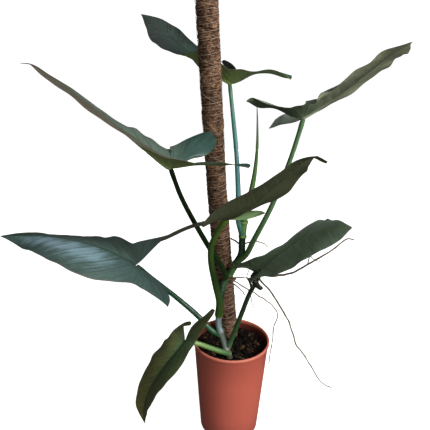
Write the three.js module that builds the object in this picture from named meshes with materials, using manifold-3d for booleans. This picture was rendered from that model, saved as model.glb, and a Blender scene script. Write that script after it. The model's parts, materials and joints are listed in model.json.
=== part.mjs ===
// A silver leaf philodendron in a tall terracotta-coloured nursery pot, climbing a coir pole.
// Millimetres, Z up. The origin is the middle of the pot's flat underside; the front of the plant faces -Y.
import * as THREE from 'three';
import { mergeVertices } from 'three/addons/utils/BufferGeometryUtils.js';
import Module from 'manifold-3d';

const wasm = await Module();
wasm.setup();

// Driving dimensions
const GAP = 0.35; // clearance between pieces that touch
const STALK_GAP = 0.45; // clearance between a stalk and its blade
const POT = {
  height: 200, rimRadius: 70, lipHeight: 5, lipDepth: 1.8, wall: 1.8, floor: 2.4,
  footRadius: 47, footHeight: 13, stepRadius: 54.5, sides: 48,
  drain: { count: 6, radius: 4.5, ringRadius: 31, sides: 10 },
};
const SOIL = { top: 184, relief: 2.6, rings: 5, sides: 36 };
const POLE = {
  bottom: 115, coirBottom: 160, top: 795, radius: 16.2, stakeRadius: 8, stakeProud: 4,
  pitch: 20, pinch: 0.8, sides: 15, stakeSides: 12,
  soilPoint: [-3, 40, 185], middlePoint: [-32, -3, 490], topPoint: [-53, -45, 795],
};
const BLADE = {
  thickness: 0.9, ribDepth: 2.6, lobeRows: 5, bladeRows: 14,
  columns: [0, 0.06, 0.3, 0.54, 0.78, 1],
};
const LOBE_REACH = 0.262; // how far a basal lobe reaches behind the petiole, in blade lengths
const FRAME_SPAN = 0.15; // the blade's crosswise direction follows the midrib's chord this far each way

const COLOURS = {
  pot: '#b5604f', soil: '#2a211a', coir: '#6d503b', stake: '#b08a5c', stem: '#6f9a72',
  petiole: '#6d8f6b', leaf: '#5a7470', spike: '#8aa878', root: '#8a8463',
};

// The outline of one half of a blade, in blade lengths: x runs from the petiole to the tip along the
// midrib, v runs outwards. The inner line is a lobe's edge along the notch, the outer one is the margin.
const NOTCH_EDGE = [
  [-0.235, 0.315], [-0.262, 0.27], [-0.262, 0.21], [-0.225, 0.14], [-0.15, 0.07], [-0.06, 0.018], [0, 0],
];
const MARGIN = [
  [-0.235, 0.315], [-0.18, 0.3], [-0.1, 0.245], [-0.02, 0.2], [0.06, 0.2], [0.16, 0.225], [0.28, 0.25],
  [0.4, 0.243], [0.52, 0.213], [0.64, 0.17], [0.76, 0.117], [0.87, 0.067], [0.95, 0.028], [1, 0],
];
const MARGIN_AT_PETIOLE = 4 / 13; // the margin's parameter beside the petiole

// Each blade: the midrib's four Bezier points, the way its upper face looks, the twist from base to
// tip, and for each half its fold at base and tip, its arch, and how its lobe bends, lifts and spreads.
// A swell pushes the sheet near one place: the place along the blade and how far it spreads, both in
// blade lengths, then the push in mm at the inner edge and at the margin.
const LEAVES = [
  {
    name: 'A', midrib: [[-99, -99, 541], [-107, -112, 541], [-215, -102, 652], [-303, -77, 677]],
    face: [0.38, -0.07, 0.92], twist: 2, width: 1, wave: 2, waves: 3.5,
    swells: [
      [0.93, 0.06, [0, 0, 6], [0, 0, 6]], [0.8, 0.1, [0, 0, 3], [0, 0, 3]],
    ],
    right: {
      fold: [31, -17], arch: 36, bend: 4, lift: 54, spread: 0.1,
      swells: [
        [0.56, 0.1, [0, 0, 0], [0, 0, -6]], [0.43, 0.035, [0, 0, 0], [0, 0, 6]],
        [-0.13, 0.09, [0, 0, 12], [-3, 2, 7]], [-0.27, 0.09, [-12, 0, 3], [-12, 0, 3]],
      ],
    },
    left: {
      fold: [54, -2], arch: 30, bend: 8, lift: 18, spread: 0.7,
      swells: [
        [0.58, 0.14, [0, 0, 0], [1, 1, 2]], [-0.1, 0.07, [0, 0, 4], [0, 0, 0]],
        [-0.22, 0.07, [0, 0, -2], [0, 0, -3]],
      ],
    },
  },
  {
    name: 'B', midrib: [[-14, 42, 649], [-68, 18, 677], [-119, 108, 736], [-170, 144, 757]],
    face: [0.36, -0.19, 0.92], twist: -57, width: 1.02, wave: 2, waves: 3,
    swells: [[0.3, 0.1, [0, 0, -7], [0, 0, 0]]],
    right: {
      fold: [22, 5], arch: 27, bend: 84, lift: 55, spread: 0.1,
      swells: [
        [-0.18, 0.1, [-8, 0, -4], [-6, 0, -8]], [-0.07, 0.05, [0, 0, 9], [0, 0, 3]],
        [0.62, 0.09, [0, 0, 0], [-3, -1, -3]],
      ],
    },
    left: {
      fold: [22, -17], arch: 24, bend: -18, lift: 28, spread: 0.4,
      swells: [
        [0.22, 0.08, [0, 0, 0], [0, 0, 16]], [0, 0.06, [0, 0, 0], [0, 0, 8]],
        [-0.14, 0.08, [0, 0, 17], [0, 2, 8]], [-0.24, 0.07, [-3, 0, 15], [-2, 0, -2]],
        [-0.28, 0.05, [0, 0, -5], [0, 0, -3]],
      ],
    },
  },
  {
    name: 'C', midrib: [[91, -58, 609], [157, -58, 649], [150, -177, 693], [164, -239, 711]],
    face: [-0.56, 0.64, 0.53], twist: -14, width: 1, wave: 2, waves: 4.5,
    right: {
      fold: [27, 11], arch: 28, bend: 36, lift: 15, spread: 0.5,
      swells: [
        [0.04, 0.08, [0, 0, 0], [2, -2, -7]], [0.24, 0.16, [0, 0, 0], [4, 0, -6]],
        [0.85, 0.1, [0, 0, 0], [-2, 1, 3]], [-0.26, 0.07, [4, 0, -10], [4, 0, -10]],
        [-0.13, 0.07, [0, 0, 7], [0, 0, 0]],
      ],
    },
    left: {
      fold: [27, -11], arch: 25, bend: -18, lift: 30, spread: 0.25,
      swells: [
        [0.8, 0.08, [0, 0, 0], [3, -1, -3]], [-0.26, 0.07, [10, 0, 4], [10, 0, 8]],
        [-0.17, 0.08, [0, 0, 4], [0, 0, 15]],
      ],
    },
  },
  {
    name: 'D', midrib: [[-17, -80, 460], [23, -147, 490], [60, -192, 580], [82, -256, 593]],
    face: [-0.42, -0.05, 0.9], twist: -17, width: 1.01, wave: 2, waves: 3,
    swells: [
      [0.85, 0.07, [0, 1, 5], [0, 1, 5]], [1, 0.07, [3, 0, -4], [3, 0, -4]],
    ],
    right: {
      fold: [36, 12], arch: 24, bend: -7, lift: 9, spread: 0.33,
      swells: [
        [0.93, 0.05, [0, 0, 0], [4, 0, 4]], [0.42, 0.16, [0, 0, 0], [-8, 3, 9]],
        [0.24, 0.11, [0, 0, 0], [-14, 0, -3]],
        [-0.15, 0.12, [0, 0, 5], [0, 0, 4]],
      ],
    },
    left: {
      fold: [-12, 8], arch: 28, bend: -52, lift: 6, spread: 0.16,
      swells: [
        [0.76, 0.14, [0, 0, 0], [-7, 0, -8]], [0.94, 0.07, [0, 0, 0], [0, 0, -3]],
      ],
    },
  },
  {
    name: 'E', midrib: [[41, -79, 376], [81, -83, 421], [97, -167, 479], [134, -208, 498]],
    face: [-0.47, -0.52, 0.72], twist: 14, width: 1.01, wave: 2, waves: 3,
    right: {
      fold: [46, -14], arch: 17, bend: 68, lift: 3, spread: 0.1,
      swells: [
        [0.86, 0.13, [0, 0, 0], [3, -1, -4]], [0.17, 0.1, [0, 0, 0], [0, 1, 2]],
        [-0.3, 0.16, [12, 0, 7], [12, 0, 7]],
      ],
    },
    left: {
      fold: [2, 0], arch: 57, bend: 39, lift: 10, spread: -0.1,
      swells: [
        [-0.16, 0.09, [0, 0, 11], [0, 0, 0]], [-0.07, 0.07, [0, 0, 0], [-2, 2, 5]],
        [0.2, 0.12, [0, 0, 0], [4, -2, -6]], [0.76, 0.07, [0, 0, 0], [0, -1, -4]],
        [0.63, 0.05, [0, 0, 0], [0, 0, -3]],
      ],
    },
  },
  {
    name: 'F', midrib: [[-164, -36, 360], [-213, -96, 431], [-302, -34, 413], [-378, -46, 412]],
    face: [0.82, -0.18, 0.55], twist: 2, width: 1.08, wave: 2, waves: 3.5,
    right: {
      fold: [4, -17], arch: 32, bend: 76, lift: 7, spread: 0.8,
      swells: [
        [0.27, 0.1, [0, 0, 0], [0, -2, -7]],
      ],
    },
    left: {
      fold: [27, -17], arch: 31, bend: 5, lift: 11, spread: -0.15,
      swells: [
        [0.35, 0.15, [0, 0, 0], [-1, -1, -2]], [0.8, 0.15, [0, 0, 0], [-1, -1, -2]],
        [-0.26, 0.06, [-5, 0, -1], [-5, 0, -1]],
      ],
    },
  },
  {
    name: 'G', midrib: [[-81, -63, 234], [-97, -98, 224], [-163, -89, 148], [-147, -98, 90]],
    face: [-0.4, -0.42, 0.82], twist: 0, width: 1.03, wave: 1, waves: 3,
    right: {
      fold: [16, 17], arch: 44, bend: 17, lift: -23, spread: 0.5,
      swells: [
        [0.3, 0.08, [0, 0, 0], [2, -1, -2]], [0.8, 0.12, [0, 0, 0], [-4, 0, 0]],
        [-0.26, 0.07, [0, 0, -8], [0, 0, -8]],
      ],
    },
    left: {
      fold: [36, 16], arch: 22, bend: -30, lift: 35, spread: 0.18,
      swells: [
        [0.42, 0.24, [0, 0, 0], [-4, 1, 3]], [-0.14, 0.1, [-8, 0, 2], [0, 0, 0]],
        [-0.26, 0.06, [-3, 0, -6], [-3, 0, -6]],
      ],
    },
  },
];

// Each leaf stalk: the points it passes, from the stem to the blade, and its radius at both ends
const PETIOLES = [
  {
    name: 'A', radius: [5, 3.4],
    path: [[-11, -9, 327], [-27, -24, 365], [-44, -36, 397], [-72, -64, 460], [-86, -81, 497]],
  },
  {
    name: 'B', radius: [5.2, 3.1],
    path: [[13, -3, 405], [5, -4, 433], [4, 2, 472], [-1, 17, 543], [-7, 29, 593], [-12, 38, 632]],
  },
  {
    name: 'C', radius: [5, 3.4],
    path: [[5, -4, 355], [20, -9, 371], [31, -13, 398], [58, -27, 468], [79, -43, 545], [87, -51, 583]],
  },
  {
    name: 'D', radius: [6.4, 4.4],
    path: [
      [-24, -22, 262], [-24, -33, 294], [-31, -38, 328], [-39, -47, 374], [-39, -54, 403], [-30, -66, 433],
    ],
  },
  {
    name: 'E', radius: [4.8, 3.4],
    path: [[-6, -34, 206], [2, -41, 235], [15, -53, 287], [24, -64, 325], [33, -72, 351]],
  },
  {
    name: 'F', radius: [5, 3.6],
    path: [
      [-20, -30, 226], [-30, -28, 229], [-44, -26, 240], [-60, -23, 258], [-92, -20, 287],
      [-140, -28, 334],
    ],
  },
  {
    name: 'G', radius: [4.8, 3.6],
    path: [[-4, -37, 192], [-17, -43, 200], [-36, -49, 211], [-61, -57, 226]],
  },
];

const STEM = {
  path: [
    [0, -40, 160], [-4, -37, 184], [-10, -34, 201], [-18, -30, 226], [-24, -26, 243], [-24, -21, 262],
    [-22, -15, 282], [-17, -8, 313], [-9, -6, 326], [3, -4, 351], [12, -3, 370], [13, -2, 396],
    [15, -3, 430],
  ],
  radius: 6.2, nodeSwell: 1.3, sides: 10, steps: 44,
  nodes: [201, 232, 262, 326, 351, 402, 428], nodeWidth: 3.5,
};
const SPIKE = {
  path: [[15, -3, 431], [21, -6, 462], [28, -11, 510], [30, -17, 555], [28, -25, 595], [25, -32, 630]],
  radius: 5.4, tipRadius: 0.7, sides: 8, steps: 14,
};
const ROOTS = [
  {
    name: 'aerial_root_long', radius: [2.6, 1], steps: 26,
    path: [
      [3, -4, 350], [19, -7, 350], [33, -10, 344], [46, -13, 336], [61, -17, 336], [97, -23, 345],
      [134, -30, 373], [160, -34, 394], [181, -38, 415], [192, -40, 414],
    ],
  },
  {
    name: 'aerial_root_hanging', radius: [1.7, 0.9], steps: 26, from: 'aerial_root_long',
    path: [
      [38, -11, 341], [45, -15, 328], [62, -20, 311], [80, -24, 285], [97, -28, 256], [107, -30, 229],
      [114, -32, 209], [136, -35, 180], [152, -38, 152], [168, -41, 134], [182, -44, 129],
    ],
  },
  {
    name: 'aerial_root_thin', radius: [1.2, 0.8], steps: 26,
    path: [
      [-10, -8, 324], [0, -15, 325], [26, -20, 310], [54, -25, 295], [71, -29, 282], [77, -31, 266],
      [72, -33, 246], [71, -36, 222], [68, -39, 197], [66, -42, 175],
    ],
  },
  {
    name: 'aerial_root_short_1', radius: [1.4, 0.8], steps: 7,
    path: [[-9, -7, 326], [-3, -15, 330], [22, -17, 331], [31, -18, 328]],
  },
  {
    name: 'aerial_root_short_2', radius: [1.3, 0.8], steps: 7,
    path: [[-10, -7, 319], [1, -16, 318], [11, -19, 311], [21, -21, 300]],
  },
  {
    name: 'aerial_root_short_3', radius: [1.3, 0.8], steps: 8,
    path: [[13, -3, 388], [24, -3, 391], [38, -4, 394], [50, -6, 391], [57, -8, 385]],
  },
  {
    name: 'aerial_root_to_pole', radius: [1.5, 1.3], steps: 5,
    path: [[12, -2, 386], [2, 0, 392], [-7, 2, 397]],
  },
];

const plant = new THREE.Group();

/** Adds a named mesh of one material to the plant. */
function place(name, geometry, colour, roughness) {
  const material = new THREE.MeshStandardMaterial({ color: colour, roughness, metalness: 0 });
  const mesh = new THREE.Mesh(geometry, material);
  mesh.name = name;
  plant.add(mesh);
}

const vector = (p) => new THREE.Vector3(...p);
const mix = (a, b, t) => a + (b - a) * t;
const clamp = (value, low, high) => Math.min(Math.max(value, low), high);

/** Merges a geometry's shared vertices and makes a solid of it. */
function toSolid(geometry) {
  const bare = geometry.clone();
  bare.deleteAttribute('normal');
  bare.deleteAttribute('uv');
  const merged = mergeVertices(bare, 1e-4);
  const vertProperties = new Float32Array(merged.attributes.position.array);
  const triVerts = new Uint32Array(merged.index.array);
  return new wasm.Manifold(new wasm.Mesh({ numProp: 3, vertProperties, triVerts }));
}

/** Turns a solid back into a geometry. */
function fromSolid(solid) {
  const { vertProperties, triVerts, numProp } = solid.getMesh();
  const positions = new Float32Array((vertProperties.length / numProp) * 3);
  for (let i = 0; i < positions.length / 3; i++) {
    for (let k = 0; k < 3; k++) positions[i * 3 + k] = vertProperties[i * numProp + k];
  }
  const geometry = new THREE.BufferGeometry();
  geometry.setAttribute('position', new THREE.BufferAttribute(positions, 3));
  geometry.setIndex(Array.from(triVerts));
  return geometry;
}

/** Cuts the cutters out of a geometry and keeps the largest piece that is left. */
function cutClear(geometry, cutters) {
  let solid = toSolid(geometry);
  for (const cutter of cutters) solid = solid.subtract(toSolid(cutter));
  const pieces = solid.decompose();
  const largest = pieces.reduce((best, piece) => (piece.volume() > best.volume() ? piece : best));
  return fromSolid(largest);
}

/** A closed tube along a smooth curve; radiusAt takes the share of the way and the point there. */
function tube(curve, radiusAt, steps, sides) {
  const frames = curve.computeFrenetFrames(steps, false);
  const positions = [];
  for (let i = 0; i <= steps; i++) {
    const centre = curve.getPointAt(i / steps);
    const radius = radiusAt(i / steps, centre);
    for (let j = 0; j < sides; j++) {
      const angle = (2 * Math.PI * j) / sides;
      const point = centre.clone()
        .addScaledVector(frames.normals[i], radius * Math.cos(angle))
        .addScaledVector(frames.binormals[i], radius * Math.sin(angle));
      positions.push(point.x, point.y, point.z);
    }
  }
  const start = curve.getPointAt(0);
  const end = curve.getPointAt(1);
  positions.push(start.x, start.y, start.z, end.x, end.y, end.z);
  const startIndex = (steps + 1) * sides;
  const endIndex = startIndex + 1;
  const index = [];
  for (let j = 0; j < sides; j++) {
    const next = (j + 1) % sides;
    for (let i = 0; i < steps; i++) {
      const a = i * sides + j;
      const b = i * sides + next;
      index.push(a, b, b + sides, a, b + sides, a + sides);
    }
    index.push(startIndex, next, j);
    index.push(endIndex, steps * sides + j, steps * sides + next);
  }
  const geometry = new THREE.BufferGeometry();
  geometry.setAttribute('position', new THREE.Float32BufferAttribute(positions, 3));
  geometry.setIndex(index);
  return geometry;
}

const smoothCurve = (points) => new THREE.CatmullRomCurve3(points.map(vector), false, 'centripetal');

/** A tube whose radius changes evenly from its start to its end, thicker all over by grow. */
function taperedTube(path, [startRadius, endRadius], steps, sides, grow = 0) {
  return tube(smoothCurve(path), (share) => mix(startRadius, endRadius, share) + grow, steps, sides);
}

/** Gives a sheet thickness along its vertex normals: over it on the top, under it on the underside. */
function thicken(positions, index, above, below) {
  const sheet = new THREE.BufferGeometry();
  sheet.setAttribute('position', new THREE.Float32BufferAttribute(positions, 3));
  sheet.setIndex(index);
  sheet.computeVertexNormals();
  const normals = sheet.attributes.normal.array;
  const count = positions.length / 3;
  const points = new Array(count * 6);
  for (let i = 0; i < count; i++) {
    for (let k = 0; k < 3; k++) {
      points[i * 3 + k] = positions[i * 3 + k] + normals[i * 3 + k] * above[i];
      points[(count + i) * 3 + k] = positions[i * 3 + k] - normals[i * 3 + k] * below[i];
    }
  }
  const faces = [];
  const rims = new Map();
  for (let t = 0; t < index.length; t += 3) {
    const corners = [index[t], index[t + 1], index[t + 2]];
    faces.push(...corners, count + corners[2], count + corners[1], count + corners[0]);
    for (let e = 0; e < 3; e++) {
      const from = corners[e];
      const to = corners[(e + 1) % 3];
      if (!rims.delete(`${to},${from}`)) rims.set(`${from},${to}`, [from, to]);
    }
  }
  for (const [from, to] of rims.values()) {
    faces.push(from, count + from, count + to, from, count + to, to);
  }
  const geometry = new THREE.BufferGeometry();
  geometry.setAttribute('position', new THREE.Float32BufferAttribute(points, 3));
  geometry.setIndex(faces);
  return geometry;
}

/** A leaf's middle surface: returns the point at x, v (blade lengths) on one half. */
function leafSurface(leaf) {
  const midrib = new THREE.CubicBezierCurve3(...leaf.midrib.map(vector));
  const length = midrib.getLength();
  const face = vector(leaf.face).normalize();
  return (x, v, share, side) => {
    const half = side > 0 ? leaf.right : leaf.left;
    const along = Math.max(x, 0);
    const backShare = clamp(-x / LOBE_REACH, 0, 1.2);
    const tangent = midrib.getPoint(Math.min(along + FRAME_SPAN, 1))
      .sub(midrib.getPoint(Math.max(along - FRAME_SPAN, 0))).normalize();
    const normal = face.clone().addScaledVector(tangent, -tangent.dot(face)).normalize();
    normal.applyAxisAngle(tangent, THREE.MathUtils.degToRad(leaf.twist) * (along - 0.5));
    const across = tangent.clone().cross(normal).multiplyScalar(side);
    // The lobe leaves the base backwards on an arc that bends towards the upper face
    const bend = THREE.MathUtils.degToRad(half.bend);
    const curl = bend / (LOBE_REACH * length);
    const back = Math.max(-x, 0) * length;
    const backward = Math.sin(curl * back) / curl;
    const upward = (1 - Math.cos(curl * back)) / curl;
    // Each half rises from the midrib by its fold, then arches over towards the margin
    const fold = THREE.MathUtils.degToRad(mix(half.fold[0], half.fold[1], along) + half.lift * backShare);
    const turn = -THREE.MathUtils.degToRad(half.arch) / (0.25 * length);
    const reach = (v + half.spread * Math.max(-x, 0)) * leaf.width * length;
    const outward = (Math.sin(fold + turn * reach) - Math.sin(fold)) / turn;
    const rise = (Math.cos(fold) - Math.cos(fold + turn * reach)) / turn;
    const wave = leaf.wave * Math.sin(2 * Math.PI * leaf.waves * x + side) * share * share * (1 - along);
    const tilted = normal.clone().multiplyScalar(Math.cos(bend * backShare))
      .addScaledVector(tangent, Math.sin(bend * backShare));
    const point = midrib.getPoint(along)
      .addScaledVector(tangent, -backward)
      .addScaledVector(normal, upward)
      .addScaledVector(across, outward)
      .addScaledVector(tilted, rise + wave);
    // One half's own swells leave the midrib where it is, which both halves share
    const free = clamp(-25 * x, 0, 1);
    // Toward a lobe's tip the inner push gives way to the outer one, so that the tip doesn't hook
    const inward = (1 - share) * clamp((0.315 - v) / 0.045, 0, 1);
    const outerShare = x < 0 ? 1 - inward : share;
    for (const [swells, loose] of [[leaf.swells ?? [], 1], [half.swells ?? [], free]]) {
      for (const [place, spread, inner, outer] of swells) {
        const near = Math.exp(-(((x - place) / spread) ** 2));
        point.addScaledVector(vector(inner), near * loose * inward);
        point.addScaledVector(vector(outer), near * outerShare);
      }
    }
    return point;
  };
}

/** The rows of one half of the planform: the inner and outer end of each, in blade lengths. */
function planformRows() {
  const notch = new THREE.SplineCurve(NOTCH_EDGE.map((p) => new THREE.Vector2(...p)));
  const margin = new THREE.SplineCurve(MARGIN.map((p) => new THREE.Vector2(...p)));
  const rows = [];
  for (let k = 0; k <= BLADE.lobeRows; k++) {
    const share = k / BLADE.lobeRows;
    rows.push([notch.getPoint(share), margin.getPoint(share * MARGIN_AT_PETIOLE)]);
  }
  for (let k = 1; k <= BLADE.bladeRows; k++) {
    const share = k / BLADE.bladeRows;
    rows.push([new THREE.Vector2(share, 0), margin.getPoint(mix(MARGIN_AT_PETIOLE, 1, share))]);
  }
  return rows;
}

/** One arrow-shaped leaf blade with a midrib that stands out below, thicker all over by grow. */
function leafBlade(leaf, grow = 0) {
  const surface = leafSurface(leaf);
  const rows = planformRows();
  const positions = [];
  const above = [];
  const below = [];
  const index = [];
  const half = BLADE.thickness / 2 + grow;
  const addVertex = (x, v, share, side) => {
    const point = surface(x, v, share, side);
    positions.push(point.x, point.y, point.z);
    above.push(half);
    const onRib = share === 0 && x >= 0;
    below.push(half + (onRib ? BLADE.ribDepth * (1 - x) : 0));
    return above.length - 1;
  };
  const last = rows.length - 1;
  const ribVertices = rows.map(([inner], k) => (
    k >= BLADE.lobeRows ? addVertex(inner.x, 0, 0, 1) : -1
  ));
  for (const side of [1, -1]) {
    const grid = rows.map(([inner, outer], k) => {
      if (k === 0) {
        const tip = addVertex(inner.x, inner.y, 1, side);
        return BLADE.columns.map(() => tip);
      }
      if (k === last) return BLADE.columns.map(() => ribVertices[last]);
      return BLADE.columns.map((share) => {
        if (share === 0 && k >= BLADE.lobeRows) return ribVertices[k];
        const x = mix(inner.x, outer.x, share);
        return addVertex(x, mix(inner.y, outer.y, share), share, side);
      });
    });
    for (let k = 0; k < last; k++) {
      for (let c = 0; c + 1 < BLADE.columns.length; c++) {
        const [a, b, d, e] = [grid[k][c], grid[k][c + 1], grid[k + 1][c + 1], grid[k + 1][c]];
        for (const face of [[a, b, d], [a, d, e]]) {
          if (new Set(face).size < 3) continue;
          index.push(...(side > 0 ? face : face.reverse()));
        }
      }
    }
  }
  return thicken(positions, index, above, below);
}

/** Turns a lathed shape, which is made around Y, up to stand around Z. */
function latheUp(profile, sides) {
  const points = profile.map(([radius, z]) => new THREE.Vector2(radius, z));
  return new THREE.LatheGeometry(points, sides).rotateX(Math.PI / 2);
}

/** The radius of the pot's outer wall at a height above its step. */
function potRadius(z) {
  const share = (z - POT.footHeight) / (POT.height - POT.footHeight);
  return mix(POT.stepRadius, POT.rimRadius - POT.lipDepth, share);
}

function makePot() {
  const { height, rimRadius, lipHeight, lipDepth, wall, floor, footRadius, footHeight, stepRadius } = POT;
  const underLip = height - lipHeight;
  const profile = [
    [0, 0], [footRadius - 2, 0], [footRadius, 1.5], [footRadius + 1.2, footHeight - 1.5],
    [stepRadius - 1.5, footHeight], [stepRadius, footHeight + 1.5],
    [potRadius(underLip - 1.5), underLip - 1.5], [rimRadius, underLip], [rimRadius, height - 1.4],
    [rimRadius - 1.2, height], [rimRadius - lipDepth - wall + 1, height],
    [rimRadius - lipDepth - wall, height - 1], [stepRadius - wall, footHeight + 3],
    [footRadius - wall, footHeight], [footRadius - wall - 1, floor], [0, floor],
  ];
  const body = latheUp(profile, POT.sides);
  const { count, radius, ringRadius, sides } = POT.drain;
  const holes = [];
  for (let i = 0; i < count; i++) {
    const angle = (2 * Math.PI * (i + 0.5)) / count;
    const hole = new THREE.CylinderGeometry(radius, radius, 4 * floor, sides).rotateX(Math.PI / 2);
    holes.push(hole.translate(ringRadius * Math.cos(angle), ringRadius * Math.sin(angle), 0));
  }
  return cutClear(body, holes);
}

/** The height of the soil's lumps over its level, from a few crossing waves. */
function soilLump(x, y) {
  const coarse = Math.sin(0.13 * x + 0.9) * Math.cos(0.11 * y - 0.4);
  const fine = 0.6 * Math.sin(0.31 * x - 0.23 * y) + 0.4 * Math.cos(0.27 * x + 0.37 * y + 1.2);
  return SOIL.relief * (coarse + fine) * 0.5;
}

function makeSoil(cutters) {
  const { wall, floor, footRadius, footHeight, stepRadius } = POT;
  const edge = potRadius(SOIL.top) - wall - GAP - 0.6;
  const bottom = floor + GAP;
  const profile = [
    [0, bottom], [footRadius - wall - 1 - GAP, bottom], [footRadius - wall - GAP, footHeight + 1],
    [stepRadius - wall - GAP - 0.6, footHeight + 4], [edge, SOIL.top],
  ];
  for (let ring = SOIL.rings - 1; ring >= 0; ring--) profile.push([(edge * ring) / SOIL.rings, SOIL.top]);
  const body = latheUp(profile, SOIL.sides);
  const position = body.attributes.position;
  for (let i = 0; i < position.count; i++) {
    if (Math.abs(position.getZ(i) - SOIL.top) > 0.01) continue;
    const [x, y] = [position.getX(i), position.getY(i)];
    position.setZ(i, SOIL.top + soilLump(x, y));
  }
  return cutClear(body, cutters);
}

/** The middle line of the pole between two heights. */
function poleCurve(bottom, top) {
  const line = smoothCurve([POLE.soilPoint, POLE.middlePoint, POLE.topPoint]);
  const pointAt = (z) => {
    const share = (z - POLE.soilPoint[2]) / (POLE.topPoint[2] - POLE.soilPoint[2]);
    if (share >= 0) return line.getPoint(share).setZ(z);
    const slope = line.getTangent(0);
    return vector(POLE.soilPoint).addScaledVector(slope, (z - POLE.soilPoint[2]) / slope.z);
  };
  const stations = [0, 0.25, 0.5, 0.75, 1].map((share) => pointAt(mix(bottom, top, share)));
  return new THREE.CatmullRomCurve3(stations, false, 'centripetal');
}

function poleStake(grow = 0) {
  const curve = poleCurve(POLE.bottom - grow, POLE.top);
  return tube(curve, () => POLE.stakeRadius + grow, 16, POLE.stakeSides);
}

/** The coir wrapped round the stake, drawn in at each turn of its thread. */
function poleCoir(grow = 0) {
  const top = POLE.top - POLE.stakeProud;
  const steps = 2 * Math.round((top - POLE.coirBottom) / POLE.pitch);
  const radiusAt = (share) => {
    const pinched = Math.round(share * steps) % 2 === 0;
    return POLE.radius + grow - (pinched ? POLE.pinch : 0);
  };
  return tube(poleCurve(POLE.coirBottom - grow, top), radiusAt, steps, POLE.sides);
}

function stemRadius(z) {
  const swells = STEM.nodes.map((node) => Math.exp(-(((z - node) / STEM.nodeWidth) ** 2)));
  return STEM.radius + STEM.nodeSwell * Math.max(...swells);
}

function makeStem(grow = 0) {
  const radiusAt = (share, point) => stemRadius(point.z) + grow;
  return tube(smoothCurve(STEM.path), radiusAt, STEM.steps, STEM.sides);
}

/** A leaf stalk from the stem up to the underside of its blade. */
function makePetiole(petiole, grow = 0) {
  const leaf = LEAVES.find(({ name }) => name === petiole.name);
  const path = [...petiole.path, leaf.midrib[0]];
  return taperedTube(path, petiole.radius, 14, 8, grow);
}

/** A blade thickened by the gap, and copies of it shifted by the gap along each axis. */
function bladeCutters(leaf) {
  const shifts = [[0, 0, 0]];
  for (const step of [STALK_GAP, -STALK_GAP]) shifts.push([step, 0, 0], [0, step, 0], [0, 0, step]);
  return shifts.map((shift) => leafBlade(leaf, STALK_GAP).translate(...shift));
}

const stemCutter = makeStem(GAP);
const stakeCutter = poleStake(GAP);
const coirCutter = poleCoir(GAP);

place('pot', makePot(), COLOURS.pot, 0.62);
place('soil', makeSoil([stemCutter, stakeCutter, coirCutter]), COLOURS.soil, 0.95);
place('pole_stake', poleStake(), COLOURS.stake, 0.8);
place('pole_coir', cutClear(poleCoir(), [stakeCutter]), COLOURS.coir, 0.95);
place('main_stem', makeStem(), COLOURS.stem, 0.55);

for (const leaf of LEAVES) place(`leaf_blade_${leaf.name}`, leafBlade(leaf), COLOURS.leaf, 0.5);
for (const petiole of PETIOLES) {
  const leaf = LEAVES.find(({ name }) => name === petiole.name);
  const stalk = cutClear(makePetiole(petiole), [stemCutter, ...bladeCutters(leaf)]);
  place(`petiole_${petiole.name}`, stalk, COLOURS.petiole, 0.45);
}

const spike = taperedTube(SPIKE.path, [SPIKE.radius, SPIKE.tipRadius], SPIKE.steps, SPIKE.sides);
const petioleB = makePetiole(PETIOLES.find(({ name }) => name === 'B'), GAP);
place('new_leaf_spike', cutClear(spike, [stemCutter, petioleB]), COLOURS.spike, 0.45);

for (const root of ROOTS) {
  const carrier = ROOTS.find(({ name }) => name === root.from);
  const cutters = [stemCutter, coirCutter];
  if (carrier) cutters.push(taperedTube(carrier.path, carrier.radius, carrier.steps, 6, GAP));
  const strand = taperedTube(root.path, root.radius, root.steps, 6);
  place(root.name, cutClear(strand, cutters), COLOURS.root, 0.75);
}

export default plant;
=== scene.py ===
"""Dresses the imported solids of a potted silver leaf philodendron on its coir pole.

Each sub-assembly is a class: its fields are its sizes, and its methods build its finer meshes around the
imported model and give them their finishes. Lengths are millimetres in the part's own frame, with Z up and
the front of the plant facing -Y, and MM turns them into metres. In the finishes, scales are cells to the
metre and reliefs are metres.
"""

from __future__ import annotations

import json
import logging
import math
from collections.abc import Sequence
from dataclasses import dataclass, field
from enum import Enum

import bpy
import numpy as np
from mathutils import Matrix, Vector

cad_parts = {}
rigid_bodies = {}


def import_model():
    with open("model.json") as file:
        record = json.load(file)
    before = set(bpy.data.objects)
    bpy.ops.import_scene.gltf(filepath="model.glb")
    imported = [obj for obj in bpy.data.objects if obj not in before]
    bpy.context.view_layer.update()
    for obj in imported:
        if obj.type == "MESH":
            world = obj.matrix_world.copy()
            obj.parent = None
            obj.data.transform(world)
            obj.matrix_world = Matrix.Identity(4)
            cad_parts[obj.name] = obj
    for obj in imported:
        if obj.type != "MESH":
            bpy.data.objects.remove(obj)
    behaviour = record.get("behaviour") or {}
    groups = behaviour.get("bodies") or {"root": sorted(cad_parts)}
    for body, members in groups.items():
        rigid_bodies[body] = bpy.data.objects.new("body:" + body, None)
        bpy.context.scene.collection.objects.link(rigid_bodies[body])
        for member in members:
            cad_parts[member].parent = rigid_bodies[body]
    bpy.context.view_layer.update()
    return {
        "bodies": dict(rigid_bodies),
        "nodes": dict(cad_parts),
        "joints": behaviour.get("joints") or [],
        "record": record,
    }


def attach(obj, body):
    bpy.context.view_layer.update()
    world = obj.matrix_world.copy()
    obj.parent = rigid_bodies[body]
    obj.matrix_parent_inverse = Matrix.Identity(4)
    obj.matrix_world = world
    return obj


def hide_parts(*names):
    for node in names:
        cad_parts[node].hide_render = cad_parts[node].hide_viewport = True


LOG = logging.getLogger("philodendron")
MM = 0.001
BODY = "root"
SPLINE_STEPS = 40

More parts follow.
